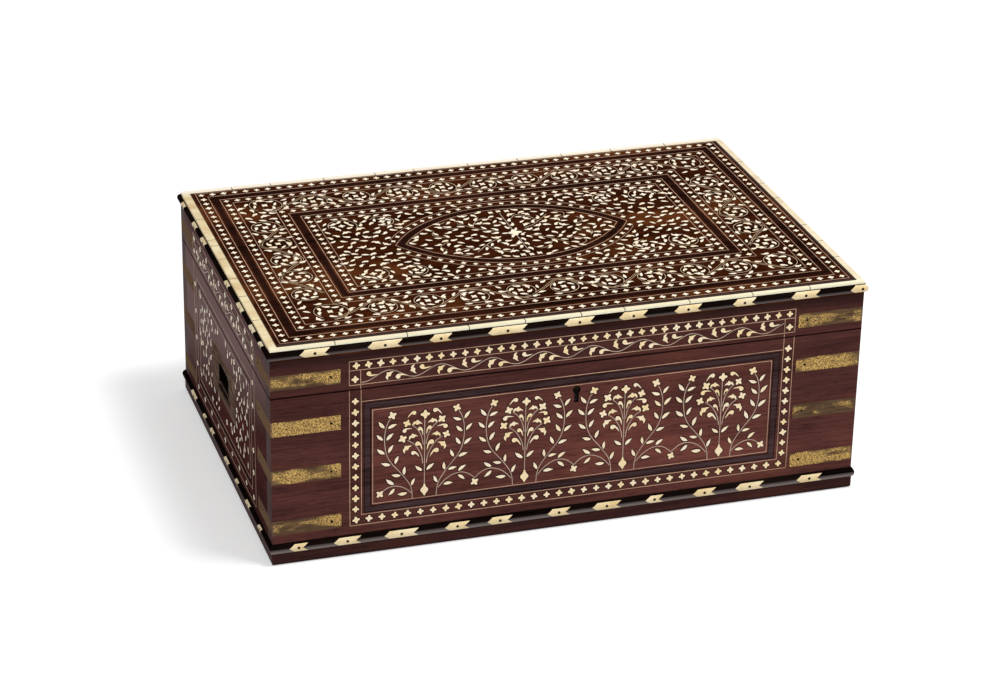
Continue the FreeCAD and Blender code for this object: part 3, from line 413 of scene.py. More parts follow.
# Black that is painted as shade in the handles' finger holes and sunk parts.
FINGER_HOLE, HOLE_EDGE, HOLE_SHADE = (("Y", 0.004, 0.0160), ("Z", 0.076, 0.0070)), 0.0008, (0.003, 0.002, 0.0015)
patina, entry, close = open_group(
    "brass_patina", "ShaderNodeTree", {"Place": "Vector", "Bright": "Color", "Brown": "Color", "Worn Share": "Float"},
    {**SURFACE, "Metallic": "Float"})
broad = stretched_noise(patina, entry["Place"], (30.0, 30.0, 60.0), 3.0, 0.8)
grains = stretched_noise(patina, entry["Place"], (1200.0, 1200.0, 1200.0))
scratches = stretched_noise(patina, entry["Place"], (60.0, 60.0, 900.0), 2.0)
patch = remap(patina, maths(patina, "ADD", broad, entry["Worn Share"]), 0.90, 1.04)
bare = product(patina, patch, remap(patina, grains, 0.45, 0.56, 0.05, 1.0))
brown = blend_colour(patina, remap(patina, scratches, 0.35, 0.65), entry["Brown"], (0.070, 0.042, 0.024))
close(Colour=blend_colour(patina, bare, brown, entry["Bright"]), Metallic=remap(patina, bare, 0.0, 1.0, 0.1, 0.6),
      Roughness=remap(patina, bare, 0.0, 1.0, 0.62, 0.42), Height=bare)


def strap_wear(tree, axes):
    """How much of each strap is bright, from the lowest to the highest; their edges are duller."""
    shares = []
    for level, left, right in zip(STRAP_LEVELS, LEFT_WEAR, RIGHT_WEAR):
        from_middle = off(tree, axes["Z"], level)
        wear = maths(tree, "ADD", remap(tree, axes["X"], -0.1, 0.1, left, right),
                     remap(tree, from_middle, 0.5 * STRAP_HALF, STRAP_HALF, 0.04, -0.12))
        shares.append(product(tree, wear, remap(tree, from_middle, STRAP_HALF + 0.002, STRAP_HALF + 0.001)))
    return maths(tree, "ADD", *shares)


def by_reach(start, end, share_in, share_out):
    """A share that changes with the distance from the middle of the box to its ends."""
    return lambda tree, axes: remap(tree, off(tree, axes["X"]), start, end, share_in, share_out)


def shade_in_finger_hole(tree, axes):
    """One inside the finger hole of a handle, which is painted black as shade."""
    return inside(tree, axes, FINGER_HOLE, HOLE_EDGE)


def brassy(name, bright, brown, worn_share, layers=(), shine=False):
    """Old brass, iron or steel; only the pieces inside the box still shine."""
    values = {"Bright": bright, "Brown": brown, "Worn Share": worn_share}
    return make_finish(name, patina, values, (0.5, 0.05), 0.15 if shine else 0.0, layers, shine=shine)


# The straps on the ends are darkened with painted shade.
strap_brass = brassy("strap_brass", (0.73, 0.465, 0.145), (0.140, 0.084, 0.045), strap_wear,
                     [(by_reach(0.2235, 0.2245, 0.0, 0.84), (0.128, 0.074, 0.055))])
# Black is painted as shade on the handles' sunk parts behind the plate and in the finger holes.
handle_brass = brassy("handle_brass", (0.26, 0.18, 0.13), (0.18, 0.115, 0.092), 0.36,
                      [(by_reach(0.2234, 0.2246, 0.96, 0.0), HOLE_SHADE), (shade_in_finger_hole, HOLE_SHADE)])
hinge_brass = brassy("hinge_brass", (0.62, 0.43, 0.16), (0.20, 0.135, 0.065), 0.46, shine=True)
pin_iron = brassy("pin_iron", (0.05, 0.038, 0.028), (0.006, 0.005, 0.004), 0.30)
lock_steel = brassy("lock_steel", (0.42, 0.41, 0.40), (0.10, 0.085, 0.07), 0.50, shine=True)
print("metals:", strap_brass.name, handle_brass.name, hinge_brass.name, pin_iron.name, lock_steel.name)

# %% [markdown]
# The looking glass in the lid is silvered, with a few grey blooms where the silver has gone.

# %% Mirror
looking_glass, tree, shader = new_material("looking_glass")
place = wire(tree, "ShaderNodeTexCoord").outputs["Object"]
bloom = remap(tree, stretched_noise(tree, place, (14.0, 14.0, 14.0), 5.0, 0.4), 0.60, 0.72)
fill(tree, shader, {"Base Color": blend_colour(tree, bloom, (0.86, 0.88, 0.87), (0.30, 0.30, 0.28)),
                    "Roughness": remap(tree, bloom, 0.0, 1.0, 0.03, 0.35), "Metallic": 1.0})
print("mirror:", looking_glass.name)

# %% [markdown]
# Every node of the frame now takes its finish. Names that start alike are dressed alike.

# %% Dress the frame
FINISHES = [
    (wood_cross, ["base_left_board", "base_right_board", "lid_left_rail", "lid_right_rail"]),
    (wood_top, ["lid_top_panel"]),
    (wood_long, ["bottom_board", "base_front_board", "base_back_board", "lid_front_rail", "lid_back_rail"]),
    (bead_wood, ["base_bead", "lid_bead"]),
    (front_band_wood, ["front_ebony_band"]),
    (band_wood, ["lid_outer_ebony_band", "lid_inner_ebony_band", "lid_oval_ebony_band"]),
    (bone_band, ["lid_bone_banding"]),
    (bone_plaque, ["base_bone_plaques", "lid_bone_plaques"]),
    (strap_brass, ["base_corner_straps", "lid_corner_straps"]),
    (pin_iron, ["base_strap_pins", "lid_strap_pins", "base_plaque_pins", "lid_plaque_pins", "lock_key_pin"]),
    (handle_brass, ["left_", "right_"]),
    (hinge_brass, ["hinge_"]),
    (lock_steel, ["lock_bolt", "lock_case", "lock_link", "lock_screws", "lock_top"]),
    (looking_glass, ["mirror_glass"]),
    (tray_wood, ["mirror_frame", "tray_"]),
]
for finish, starts in FINISHES:
    for name, piece in nodes.items():
        if name.startswith(tuple(starts)):
            piece.data.materials.clear()
            piece.data.materials.append(finish)
print("dressed", len(nodes), "nodes with", len(FINISHES), "finishes")

# %% [markdown]
# The bone bits were sawn from thin plates to a few patterns: four-petalled flowers, trefoils, leaves, commas and
# drops. Each lies in a bed cut a little larger, and black lac fills the edge. A pattern is an outline in
# millimetres, from a formula or a list of points, that can grow by the width of that edge. A leaf starts at its
# foot and points to the right.

# %% Patterns for the bone bits
LEAF_LENGTH = {"leaf": 7.0, "comma": 8.4, "drop": 6.8, "trefoil": 8.5, "bulb": 9.8}
LEAF_WIDTH, LEAF_BOW, LEAF_WIDEST, LEAF_TAPER = 2.4, 0.3, 0.46, 1.15
TREFOIL = [(0.0, 0.0), (1.6, 0.3), (2.9, 0.2), (3.9, -0.7), (5.0, -1.0), (5.7, -0.2), (6.6, -0.3), (7.6, -1.2),
           (8.5, -2.2), (8.6, -0.2), (8.1, 1.2), (7.0, 2.0), (6.2, 1.9), (5.6, 3.0), (4.6, 3.6), (3.8, 2.5),
           (2.6, 2.0), (1.2, 1.1)]
COMMA = [(0.0, -0.5), (0.6, -1.5), (1.6, -2.0), (2.7, -1.8), (3.4, -0.9), (3.6, 0.1), (4.2, 0.5), (5.4, 0.4),
         (7.2, 0.1), (9.2, -0.2), (7.2, 0.9), (5.2, 1.6), (3.4, 2.0), (1.8, 1.9), (0.6, 1.3), (0.0, 0.4)]
DROP = [(0.0, -0.4), (0.55, -1.3), (1.5, -1.75), (2.7, -1.6), (3.7, -1.1), (4.8, -0.85), (5.9, -1.0), (6.8, -1.5),
        (6.3, -0.2), (5.3, 0.65), (4.0, 1.2), (2.4, 1.45), (1.0, 1.15), (0.2, 0.5)]
BULB_HALF = [(0.0, 0.0), (1.3, 0.8), (2.6, 1.5), (4.0, 2.9), (5.6, 2.9), (7.2, 1.4), (8.6, 0.7), (9.8, 0.5),
             (9.9, 0.0)]


def petals(radius, depth, turn=0.0, steps=24):
    """An outline with four rounded petals around its middle."""
    angles = [2 * math.pi * step / steps for step in range(steps)]
    reach = [radius + depth * math.cos(4 * (angle - turn)) for angle in angles]
    return [(far * math.cos(angle), far * math.sin(angle)) for far, angle in zip(reach, angles)]


def leaf_outline(grow, steps=8):
    """A leaf along a bowed spine, widest at a share of its length; a taper over one thins its tip."""
    shares = [step / steps for step in range(steps + 1)]
    length = LEAF_LENGTH["leaf"] + 2 * grow
    spine = [(length * share - grow, LEAF_BOW * math.sin(math.pi * share)) for share in shares]
    bulge = [math.sin(math.pi * share ** (math.log(0.5) / math.log(LEAF_WIDEST))) for share in shares]
    half = [(0.5 * LEAF_WIDTH + grow) * max(0.0, rise) ** (LEAF_TAPER if share > LEAF_WIDEST else 0.8)
            for share, rise in zip(shares, bulge)]
    lower = [(u, v - reach) for (u, v), reach in zip(spine, half)]
    upper = [(u, v + reach) for (u, v), reach in zip(spine, half)]
    return lower + upper[-2:0:-1]


def swollen(outline, grow):
    """An outline that is larger by this much on every side."""
    spans = [(min(values), max(values)) for values in zip(*outline)]
    return [tuple((low + high) / 2 + (value - (low + high) / 2) * (1 + 2 * grow / (high - low))
                  for value, (low, high) in zip(point, spans)) for point in outline]


def flipped(points):
    """The same points on the other side of the spine, in the order that keeps a plate the right way up."""
    return [(u, -v) for u, v in reversed(points)]


def patterns(grow):
    """All the outlines, larger by this much; some come in a left and a right hand."""
    made = {"border_flower": petals(2.1 + grow, 0.62), "flower": petals(2.45 + grow, 0.8, math.pi / 4),
            "leaf": leaf_outline(grow),
            "bulb": swollen([(u, -v) for u, v in BULB_HALF] + BULB_HALF[-2:0:-1], grow)}
    for kind, outline in (("trefoil", TREFOIL), ("comma", COMMA), ("drop", DROP)):
        made[f"{kind}_left"], made[f"{kind}_right"] = swollen(outline, grow), swollen(flipped(outline), grow)
    return made


def pattern_plates(name, grow, rise, sink=0.10):
    """A collection with a closed plate for every pattern, in the order of their names."""
    plates = bpy.data.collections.new(name)
    for kind, outline in sorted(patterns(grow).items()):
        count = len(outline)
        corners = [(u * MM, v * MM, level * MM) for level in (-sink, rise) for u, v in outline]
        walls = [(i, (i + 1) % count, count + (i + 1) % count, count + i) for i in range(count)]
        mesh = bpy.data.meshes.new(f"{name}_{kind}")
        mesh.from_pydata(corners, [], [tuple(reversed(range(count))), tuple(range(count, 2 * count))] + walls)
        plates.objects.link(bpy.data.objects.new(mesh.name, mesh))
    return plates


bone_plates = pattern_plates("bone", 0.0, 0.14)
lac_plates = pattern_plates("lac", 0.75, 0.04)
KINDS = sorted(patterns(0.0))
print("patterns:", ", ".join(KINDS))

# %% [markdown]
# There are far too many bits to set by hand, so a Geometry Nodes tree sets them: every point of a drawing picks
# its pattern by number, and carries its turn, its span and its tone.

# %% A tree that sets the bits
set_bits, entry, close = open_group(
    "set_bits", "GeometryNodeTree", {"Geometry": "Geometry", "Patterns": "Collection", "Finish": "Material"},
    {"Geometry": "Geometry"})


def read_attribute(name, data_type="FLOAT"):
    """The value that each point carries under this name."""
    return wire(set_bits, "GeometryNodeInputNamedAttribute", {"Name": name}, data_type=data_type).outputs["Attribute"]


choice = wire(set_bits, "GeometryNodeCollectionInfo",
              {"Collection": entry["Patterns"], "Separate Children": True, "Reset Children": True})
turns = wire(set_bits, "ShaderNodeCombineXYZ", {"Z": read_attribute("turn")})
span = read_attribute("span")
spread = wire(set_bits, "ShaderNodeCombineXYZ", {"X": span, "Y": span, "Z": 1.0})
placed = wire(set_bits, "GeometryNodeInstanceOnPoints",
              {"Points": entry["Geometry"], "Instance": choice, "Pick Instance": True,
               "Instance Index": read_attribute("kind", "INT"), "Rotation": turns, "Scale": spread})
solid = wire(set_bits, "GeometryNodeRealizeInstances", {0: placed})
close(Geometry=wire(set_bits, "GeometryNodeSetMaterial", {"Geometry": solid, "Material": entry["Finish"]}))
print("set_bits:", len(set_bits.nodes), "nodes")

# %% [markdown]
# Stringing is a thin strip of pale wood or metal let into a scratched groove, and the vines are bent from the
# same strip. A second tree sweeps a small flat section along each drawn line. An offset to one side makes the
# two strips of a double stem from one line.

# %% A tree that lays the strips
lay_strips, entry, close = open_group(
    "lay_strips", "GeometryNodeTree",
    {"Geometry": "Geometry", "Width": "Float", "Thickness": "Float", "Offset": "Float", "Smoothness": "Int",
     "Finish": "Material"}, {"Geometry": "Geometry"})
drawn = wire(lay_strips, "GeometryNodeMeshToCurve", {"Mesh": entry["Geometry"]})
smooth = wire(lay_strips, "GeometryNodeCurveSplineType", {"Curve": drawn}, spline_type="CATMULL_ROM")
stepped = wire(lay_strips, "GeometryNodeSetSplineResolution", {"Geometry": smooth, "Resolution": entry["Smoothness"]})
upright = wire(lay_strips, "GeometryNodeSetCurveNormal", {"Curve": stepped}, mode="Z_UP")
section = wire(lay_strips, "GeometryNodeCurvePrimitiveQuadrilateral",
               {"Width": entry["Width"], "Height": entry["Thickness"]})
shift = wire(lay_strips, "ShaderNodeCombineXYZ", {"X": entry["Offset"]})
beside = wire(lay_strips, "GeometryNodeTransform", {"Geometry": section, "Translation": shift})
swept = wire(lay_strips, "GeometryNodeCurveToMesh", {"Curve": upright, "Profile Curve": beside, "Fill Caps": True})
solid = wire(lay_strips, "GeometryNodeRealizeInstances", {0: swept})
close(Geometry=wire(lay_strips, "GeometryNodeSetMaterial", {"Geometry": solid, "Material": entry["Finish"]}))
print("lay_strips:", len(lay_strips.nodes), "nodes")

# %% [markdown]
# The inlay of a face is drawn flat, in millimetres, with u to the right and v upwards as one looks at it.
# A drawing only collects bits and lines. It is made up afterwards and turned onto its face of the box.

# %% A drawing board
STRIPS = {  # the piece it joins, its width and thickness in millimetres, and the steps between two drawn points
    "string": ("stringing", 0.48, 0.20, 1), "fine_string": ("stringing", 0.42, 0.18, 1),
    "vine": ("vines", 0.54, 0.16, 6), "scroll": ("scrolls", 0.54, 0.14, 4), "stem": ("scrolls", 0.42, 0.14, 4),
    "scroll_bed": ("scroll_beds", 2.6, 0.06, 4), "band": ("ebony_lines", 3.6, 0.12, 1),
    # the seam strip is painted shadow of the gap under the lid; the edge strips are dark lines along the front's ebony
    # band
    "end_band": ("end_lines", 3.0, 0.12, 1), "seam": ("seam_line", 1.2, 0.10, 1), "edge": ("seam_line", 0.6, 0.10, 1),
}


def sides(low, high):
    """The four sides of a rectangle, each with its start and its end."""
    corners = [low, (high[0], low[1]), high, (low[0], high[1])]
    return zip(corners, corners[1:] + corners[:1])


def leaf_length(kind):
    """How long a pattern is, for either hand."""
    return LEAF_LENGTH[kind.split("_")[0]]


class Drawing:
    """The inlay of one face."""

    def __init__(self, seed, tone):
        self.chance, self.tone = random.Random(seed), tone
        self.bits, self.lines = [], {}

    def bit(self, kind, u, v, turn=0.0, span=1.0):
        """One bone bit; its tone and size differ a little from its neighbours', and leaves are the whitest."""
        tone = self.tone * self.chance.uniform(0.5, 1.5) * (0.6 if kind == "leaf" else 1.4)
        self.bits.append((KINDS.index(kind), u, v, turn, span * self.chance.uniform(0.93, 1.07), tone))

    def leaf(self, kind, foot, tip):
        """A leaf, comma, trefoil or bulb from its foot to its tip."""
        u, v = tip[0] - foot[0], tip[1] - foot[1]
        self.bit(kind, *foot, math.atan2(v, u), math.hypot(u, v) / leaf_length(kind))

    def line(self, style, *points):
        """A strip through these points."""
        self.lines.setdefault(style, []).append(points)

    def frame(self, style, low, high):
        """Four straight strips around a rectangle, each one butting against the next."""
        for start, end in sides(low, high):
            lap = 0.5 * STRIPS[style][1] / math.dist(start, end)
            u, v = (lap * (b - a) for a, b in zip(start, end))
            self.line(style, (start[0] + u, start[1] + v), (end[0] + u, end[1] + v))

    def row(self, start, end, pitch, span=1.0, last=True):
        """Border flowers at even steps."""
        count = max(1, round(math.dist(start, end) / pitch))
        for step in range(count + last):
            share = step / count
            self.bit("border_flower", *(a + share * (b - a) for a, b in zip(start, end)),
                     self.chance.uniform(-0.2, 0.2), span)

    def row_frame(self, low, high, pitch, span=1.0):
        """Border flowers around a rectangle."""
        for start, end in sides(low, high):
            self.row(start, end, pitch, span, last=False)


print("drawing board ready")

# %% [markdown]
# The front panel shows four flowering bushes. Each rises from a bulb and spreads three pairs of branches with
# trefoils, commas and flowers. The same bush is drawn once, around its own stem, and mirrored.

# %% A bush
BUSH_STEMS = [[(1.3, -104), (2.3, -98), (4.9, -92), (8.2, -87.4), (12.8, -84)],
              [(1.0, -89), (2.4, -82), (5.4, -76.2), (9.6, -71.9)]]
BUSH_FLOWERS = [(13.0, -70.0), (16.6, -82.3)]
BUSH_TREFOILS = [((1.8, -71.9), (9.2, -70.6)), ((5.0, -82.0), (12.2, -82.7)), ((9.3, -88.4), (16.1, -92.8))]
BUSH_COMMAS = [((6.6, -61.6), (12.4, -65.6), 1), ((16.8, -76.3), (9.6, -75.1), -1), ((4.5, -74.4), (1.5, -80.2), -1),
               ((5.7, -86.2), (2.0, -92.4), -1), ((9.8, -93.5), (4.0, -98.6), -1)]
BUSH_LEAVES = [((1.3, -110.2), (6.9, -105.6))]


def bush(drawing, middle):
    """A flowering bush around an upright stem at u = middle; no two are quite alike."""
    def put(point, side):
        u, v = (drawing.chance.uniform(-0.4, 0.4) for _ in point)
        return middle + side * point[0] + u, point[1] + v

    for side in (1, -1):
        for stem in BUSH_STEMS:
            drawing.line("vine", *((middle + side * u, v) for u, v in stem))
        for flower in BUSH_FLOWERS:
            drawing.bit("flower", *put(flower, side), turn=drawing.chance.uniform(-0.5, 0.5))
        for kind, places in (("trefoil_left" if side > 0 else "trefoil_right", BUSH_TREFOILS), ("leaf", BUSH_LEAVES)):
            for foot, tip in places:
                drawing.leaf(kind, put(foot, side), put(tip, side))
        for head, tail, hand in BUSH_COMMAS:
            drawing.leaf("comma_left" if side * hand > 0 else "comma_right", put(head, side), put(tail, side))
    drawing.line("vine", (middle, -121.5), (middle, -95), (middle, -67))
    drawing.bit("border_flower", middle + 0.4, -64.7, span=1.25)
    drawing.leaf("bulb", (middle, -130.7), (middle, -120.9))


print("bush:", 2 * len(BUSH_FLOWERS + BUSH_TREFOILS + BUSH_COMMAS + BUSH_LEAVES) + 2, "bits")

# %% [markdown]
# Tall vines stand on both sides of every bush, and low arcs join one bush to the next with a hanging flower.
# The outermost arcs have less room, so they are lower and end in a flower of their own.

# %% Vines beside the bushes
VINE = [(9, -132), (9.4, -125.5), (11, -120), (14.5, -114.2), (19.5, -107.5), (24.7, -101), (27.8, -95), (29.3, -88.5),
        (29.8, -82), (29.3, -75), (27.5, -68.5), (25.5, -65.2)]
VINE_LEAVES = [((9.7, -121), (7.0, -115)), ((15.2, -111.5), (14.6, -105)), ((17.8, -111.8), (24.4, -110.4)),
               ((22, -101.8), (19.2, -95.2)), ((25.4, -102.2), (32.2, -100)), ((27, -92.3), (23.2, -86)),
               ((29.6, -92.8), (35.6, -88)), ((28.4, -82), (23.4, -77)), ((30.9, -81.5), (36, -76.2)),
               ((27.4, -72.6), (20.9, -70)), ((29.8, -72), (34.2, -66.2))]
ARC = [(10.3, -125.5), (13, -122.3), (16.5, -119), (21.5, -116.2), (27, -115.2), (31.8, -116.5), (36, -119.5),
       (38, -121.6)]
ARC_LEAVES = [((14.3, -123.3), (21.8, -122.9)), ((25.4, -113.9), (31.2, -109.8)), ((25.3, -117.2), (30.5, -121.6))]
END_ARC = [(9.8, -127.2), (13, -123.8), (17.5, -121), (22.5, -119.8), (27, -120.4), (31, -122.9)]
END_ARC_LEAVES = [((12.8, -126.6), (19.8, -126.8)), ((22.7, -118.4), (28.5, -113.6)), ((22.3, -121.8), (26.9, -126.6))]
BUSH_PLACES = (-112, -36, 40, 116)


def panel_vines(drawing, middle, side, at_end):
    """The tall vine and the low arc on one side of a bush."""
    def put(point):
        return middle + side * point[0], point[1]

    drawing.line("vine", *map(put, VINE))
    drawing.line("vine", *map(put, END_ARC if at_end else ARC))
    drawing.bit("flower", *put((24, -62.6)), turn=0.35 * side)
    for foot, tip in VINE_LEAVES + (END_ARC_LEAVES if at_end else ARC_LEAVES):
        drawing.leaf("leaf", put(foot), put(tip))
    if at_end or side > 0:
        drawing.bit("flower", *put((33.3, -124.9) if at_end else (38, -124.6)), turn=drawing.chance.uniform(-0.4, 0.4))


def base_panel(drawing):
    """The whole panel of the front; the ebony band itself is part of the frame."""
    for middle in BUSH_PLACES:
        bush(drawing, middle)
        for side in (1, -1):
            panel_vines(drawing, middle, side, at_end=middle == BUSH_PLACES[-1 if side > 0 else 0])
    drawing.frame("string", (-159, -139.4), (163.2, -48.5))
    drawing.frame("string", (-150.6, -131.9), (154.4, -56.3))
    drawing.frame("edge", (-156.9, -138.1), (160.7, -50.1))
    drawing.frame("edge", (-152.1, -133.4), (155.9, -54.7))
    for u in (-167.6, -159, 163.2, 171.2):
        drawing.line("string", (u, -39), (u, -147.7 if abs(u) > 165 else -48.5))
    drawing.line("string", (-167.6, -147.7), (171.2, -147.7))
    drawing.row((-163, -143.3), (164.8, -143.3), 9.64)
    for u in (-163.3, 167):
        drawing.row((u, -47.8), (u, -134.5), 8.67)


base_front = Drawing(3, 0.28)
base_panel(base_front)
print("front panel:", len(base_front.bits), "bits")

# %% [markdown]
# Above the panel a narrow band runs along the lid: a row of border flowers over a running vine. A trefoil hangs under
# each crest and one stands over each trough, and a comma follows each of them.

# %% The lid's band
WAVE_PITCH, WAVE_MIDDLE, WAVE_RISE = 38.1, -29.8, 3.6


def running_vine(drawing, left, right, first_crest):
    """A wave with its small flowers."""
    count = round((right - left) / (WAVE_PITCH / 8))
    places = [left + (right - left) * step / count for step in range(count + 1)]
    drawing.line("vine", *((u, WAVE_MIDDLE + WAVE_RISE * math.cos(2 * math.pi * (u - first_crest) / WAVE_PITCH))
                           for u in places))
    half_steps = int((right - 12 - first_crest) / (WAVE_PITCH / 2)) + 1
    for step in range(half_steps):
        u = first_crest + step * WAVE_PITCH / 2
        if step % 2 == 0:
            drawing.leaf("trefoil_right", (u + 3.8, -27.6), (u - 2.0, -32.6))
            drawing.leaf("comma_left", (u + 5.0, -32.0), (u + 12.9, -31.8))
        else:
            drawing.leaf("trefoil_left", (u + 1.2, -31.4), (u - 1.8, -24.6))
            drawing.leaf("comma_right", (u + 3.6, -26.4), (u + 11.2, -27.2))


def lid_band(drawing, left, right, first_crest, pitch, style="string"):
    """Border flowers over a running vine, in a frame of stringing."""
    drawing.frame(style, (left, -34.9), (right, -16.2))
    drawing.line(style, (left, -23.4), (right, -23.4))
    for u in (left + 8.3, right - 8.1):
        drawing.line(style, (u, -23.4), (u, -38.1))
    drawing.row((left + 5.2, -19.8), (right - 4.6, -19.8), pitch)
    for u in (left + 4.3, right - 4.2):
        drawing.bit("border_flower", u, -30.4)
    running_vine(drawing, left + 9, right - 9, first_crest - 1.5)
    drawing.leaf("comma_right", (left + 12.6, -26.8), (left + 20.2, -28.5))


lid_front = Drawing(5, 0.28)
lid_band(lid_front, -167.6, 171.2, -137.2, 8.9)
print("lid band:", len(lid_front.bits), "bits")

# %% [markdown]
# The back is out of sight in the photograph. Boxes of this kind repeat the front there, so the same two
# drawings are used, without a second ebony band.

# %% The back
base_back, lid_back = Drawing(13, 0.25), Drawing(15, 0.25)
base_panel(base_back)
lid_band(lid_back, -167.6, 171.2, -137.2, 8.9)
base_back.frame("band", (-154.5, -135.8), (158.3, -52.4))
print("back:", len(base_back.bits) + len(lid_back.bits), "bits")

# %% [markdown]
# The ends have wider spaced borders, and loose leaves and flowers around the sunk handle. They are scattered
# with a fixed seed, each one set only where it has room.

# %% The ends
END_TRIES, END_GAP = 2500, 7.4


def end_panel(drawing):
    """The borders of one end."""
    drawing.frame("fine_string", (-96, -141), (88, -51))
    drawing.frame("fine_string", (-88.5, -135), (82, -58.5))
    drawing.frame("end_band", (-92.3, -138), (85, -54.8))
    drawing.row((-98, -145.5), (92, -145.5), 23.7, 0.9)
    drawing.row((-101, -58), (-100, -126), 22.5, 0.9)
    drawing.row((94, -51), (93, -124.5), 18.5, 0.9)
    for u in (-105.5, 99):
        drawing.line("fine_string", (u, -39), (u, -150))
    drawing.line("fine_string", (-105.5, -150), (99, -150))


def end_leaves(drawing):
    """Leaves, commas and flowers on both sides of the handle, and a few over and under it."""
    for _ in range(END_TRIES):
        u, v = drawing.chance.uniform(-84, 78), drawing.chance.uniform(-131, -62)
        by_handle = -47 < u < 37 and (-121 < v < -73 or -22 < u < 4)
        if not by_handle and all(math.dist((u, v), bit[1:3]) > END_GAP for bit in drawing.bits):
            drawing.bit(drawing.chance.choice(("leaf", "leaf", "comma_left", "comma_right", "flower")), u, v,
                        drawing.chance.uniform(0.8, 2.3), 0.86)


base_left, base_right, lid_left, lid_right = (Drawing(seed, 0.06) for seed in (21, 22, 23, 24))
for drawing in (base_left, base_right):
    end_panel(drawing)
    end_leaves(drawing)
for drawing in (lid_left, lid_right):
    lid_band(drawing, -105.5, 99, -85, 21.0, "fine_string")
print("ends:", len(base_left.bits + lid_left.bits), "bits each")

# %% [markdown]
# The lid's top is the showpiece. Two ebony bands frame it, each between two rows of border flowers with
# stringing on both sides. The rows are placed from the bands of the frame, so they follow its real size.

# %% Borders of the top
ROW_STEP, STRING_STEP, ROW_PITCH = 5.9, 4.2, 8.8
lid_top = Drawing(31, 0.04)


def flat_box(node):
    """The corners of a node's box, in millimetres."""
    return ([value / MM for value in corner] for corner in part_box(node))


def inset(low, high, reach):
    """A rectangle drawn in by this much on every side."""
    return (low[0] + reach, low[1] + reach), (high[0] - reach, high[1] - reach)


fields = []
for node, width in (("lid_outer_ebony_band", 4.4), ("lid_inner_ebony_band", 4.3)):
    low, high = flat_box(node)
    for reach in (-ROW_STEP, width + ROW_STEP):
        row_low, row_high = inset(low, high, reach)
        if not fields:  # the outermost row stands nearer the front and farther from the right
            row_low, row_high = (row_low[0], row_low[1] - 1.6), (row_high[0] - 1.2, row_high[1])
        lid_top.row_frame(row_low, row_high, ROW_PITCH, 0.9)
        for edge in (-STRING_STEP, STRING_STEP):
            lid_top.frame("fine_string", *inset(row_low, row_high, edge))
        fields.append(inset(low, high, reach + math.copysign(STRING_STEP + 1.0, reach)))
print("border rows:", len(fields), "with", len(lid_top.bits), "flowers")

# %% [markdown]
# A pointed oval lies in the middle. It is made of two equal arcs, so a line beside it is the same two arcs
# with another radius. Lines run along both edges of its ebony, with a border of small flowers outside them.

# %% The pointed oval
low, high = flat_box("lid_oval_ebony_band")
OVAL_MIDDLE = ((low[0] + high[0]) / 2, (low[1] + high[1]) / 2)
half_long, half_wide = (high[0] - low[0]) / 2, (high[1] - low[1]) / 2
OVAL_RADIUS = (half_long ** 2 + half_wide ** 2) / (2 * half_wide)
OVAL_BAND, OVAL_STEPS = 4.0, 26


def oval_arc(reach, side, share=1.0):
    """One arc of the oval, or a share of it, moved outwards by this reach."""
    sweep = share * math.acos((OVAL_RADIUS - half_wide) / (OVAL_RADIUS + reach))
    angles = [sweep * (2 * step / OVAL_STEPS - 1) for step in range(OVAL_STEPS + 1)]
    return [(OVAL_MIDDLE[0] + (OVAL_RADIUS + reach) * math.sin(angle),
             OVAL_MIDDLE[1] + side * ((OVAL_RADIUS + reach) * math.cos(angle) - OVAL_RADIUS + half_wide))
            for angle in angles]


def outside_oval(u, v, reach):
    """Whether a point lies outside the oval by more than this reach."""
    drop = OVAL_RADIUS - half_wide
    return math.hypot(u - OVAL_MIDDLE[0], abs(v - OVAL_MIDDLE[1]) + drop) > OVAL_RADIUS + reach


for side in (1, -1):
    for reach in (1.5, -OVAL_BAND - 1.5):
        lid_top.line("fine_string", *oval_arc(reach, side))
    for u, v in oval_arc(5.2, side)[1:-1]:
        lid_top.bit("border_flower", u, v, lid_top.chance.uniform(-0.5, 0.5), 0.78)
    lid_top.line("fine_string", *oval_arc(8.4, side, share=0.9))
print("oval:", round(2 * half_long), "by", round(2 * half_wide), "mm")

# %% [markdown]
# Scrolls fill the wide border: a stem waves along it, and from every crest and trough a branch curls inwards to
# a flower. The stems are double strips. The same curl is used in the corners of the field and in the oval.

# %% Scrolls
SCROLL_RISE = 12.3
CURL_STEPS = 13
curls = []


def curl(drawing, middle, radius, start, hand, sweep=320):
    """A branch that winds inwards and ends beside a flower."""
    points = []
    for step in range(CURL_STEPS + 1):
        angle = start + hand * math.radians(sweep) * step / CURL_STEPS
        reach = radius * (1.0 - 0.0006 * sweep * step / CURL_STEPS)
        points.append((middle[0] + reach * math.cos(angle), middle[1] + reach * math.sin(angle)))
    drawing.line("scroll", *points)
    drawing.bit("flower", *middle, turn=start, span=0.85)
    curls.append((middle, radius, start, hand))


def scroll(drawing, places, level, upright, first_up):
    """A waving stem with a curl at every place; an upright scroll runs along v."""
    def put(along, across):
        return (level + across, along) if upright else (along, level + across)

    stem = []
    for index, place in enumerate(places):
        up = 1 if (index % 2 == 0) == first_up else -1
        stem.append(put(place, up * SCROLL_RISE))
        if place != places[-1]:
            stem.append(put((place + places[index + 1]) / 2 + 1.0, 0.0))
        start = math.atan2(up, 0.0) if not upright else math.atan2(0.0, up)
        at_corner = not upright and place in (places[0], places[-1])
        curl(drawing, put(place, -up), 14.0 if at_corner else SCROLL_RISE - 0.5, start, up if upright else -up)
    drawing.line("stem", *stem)


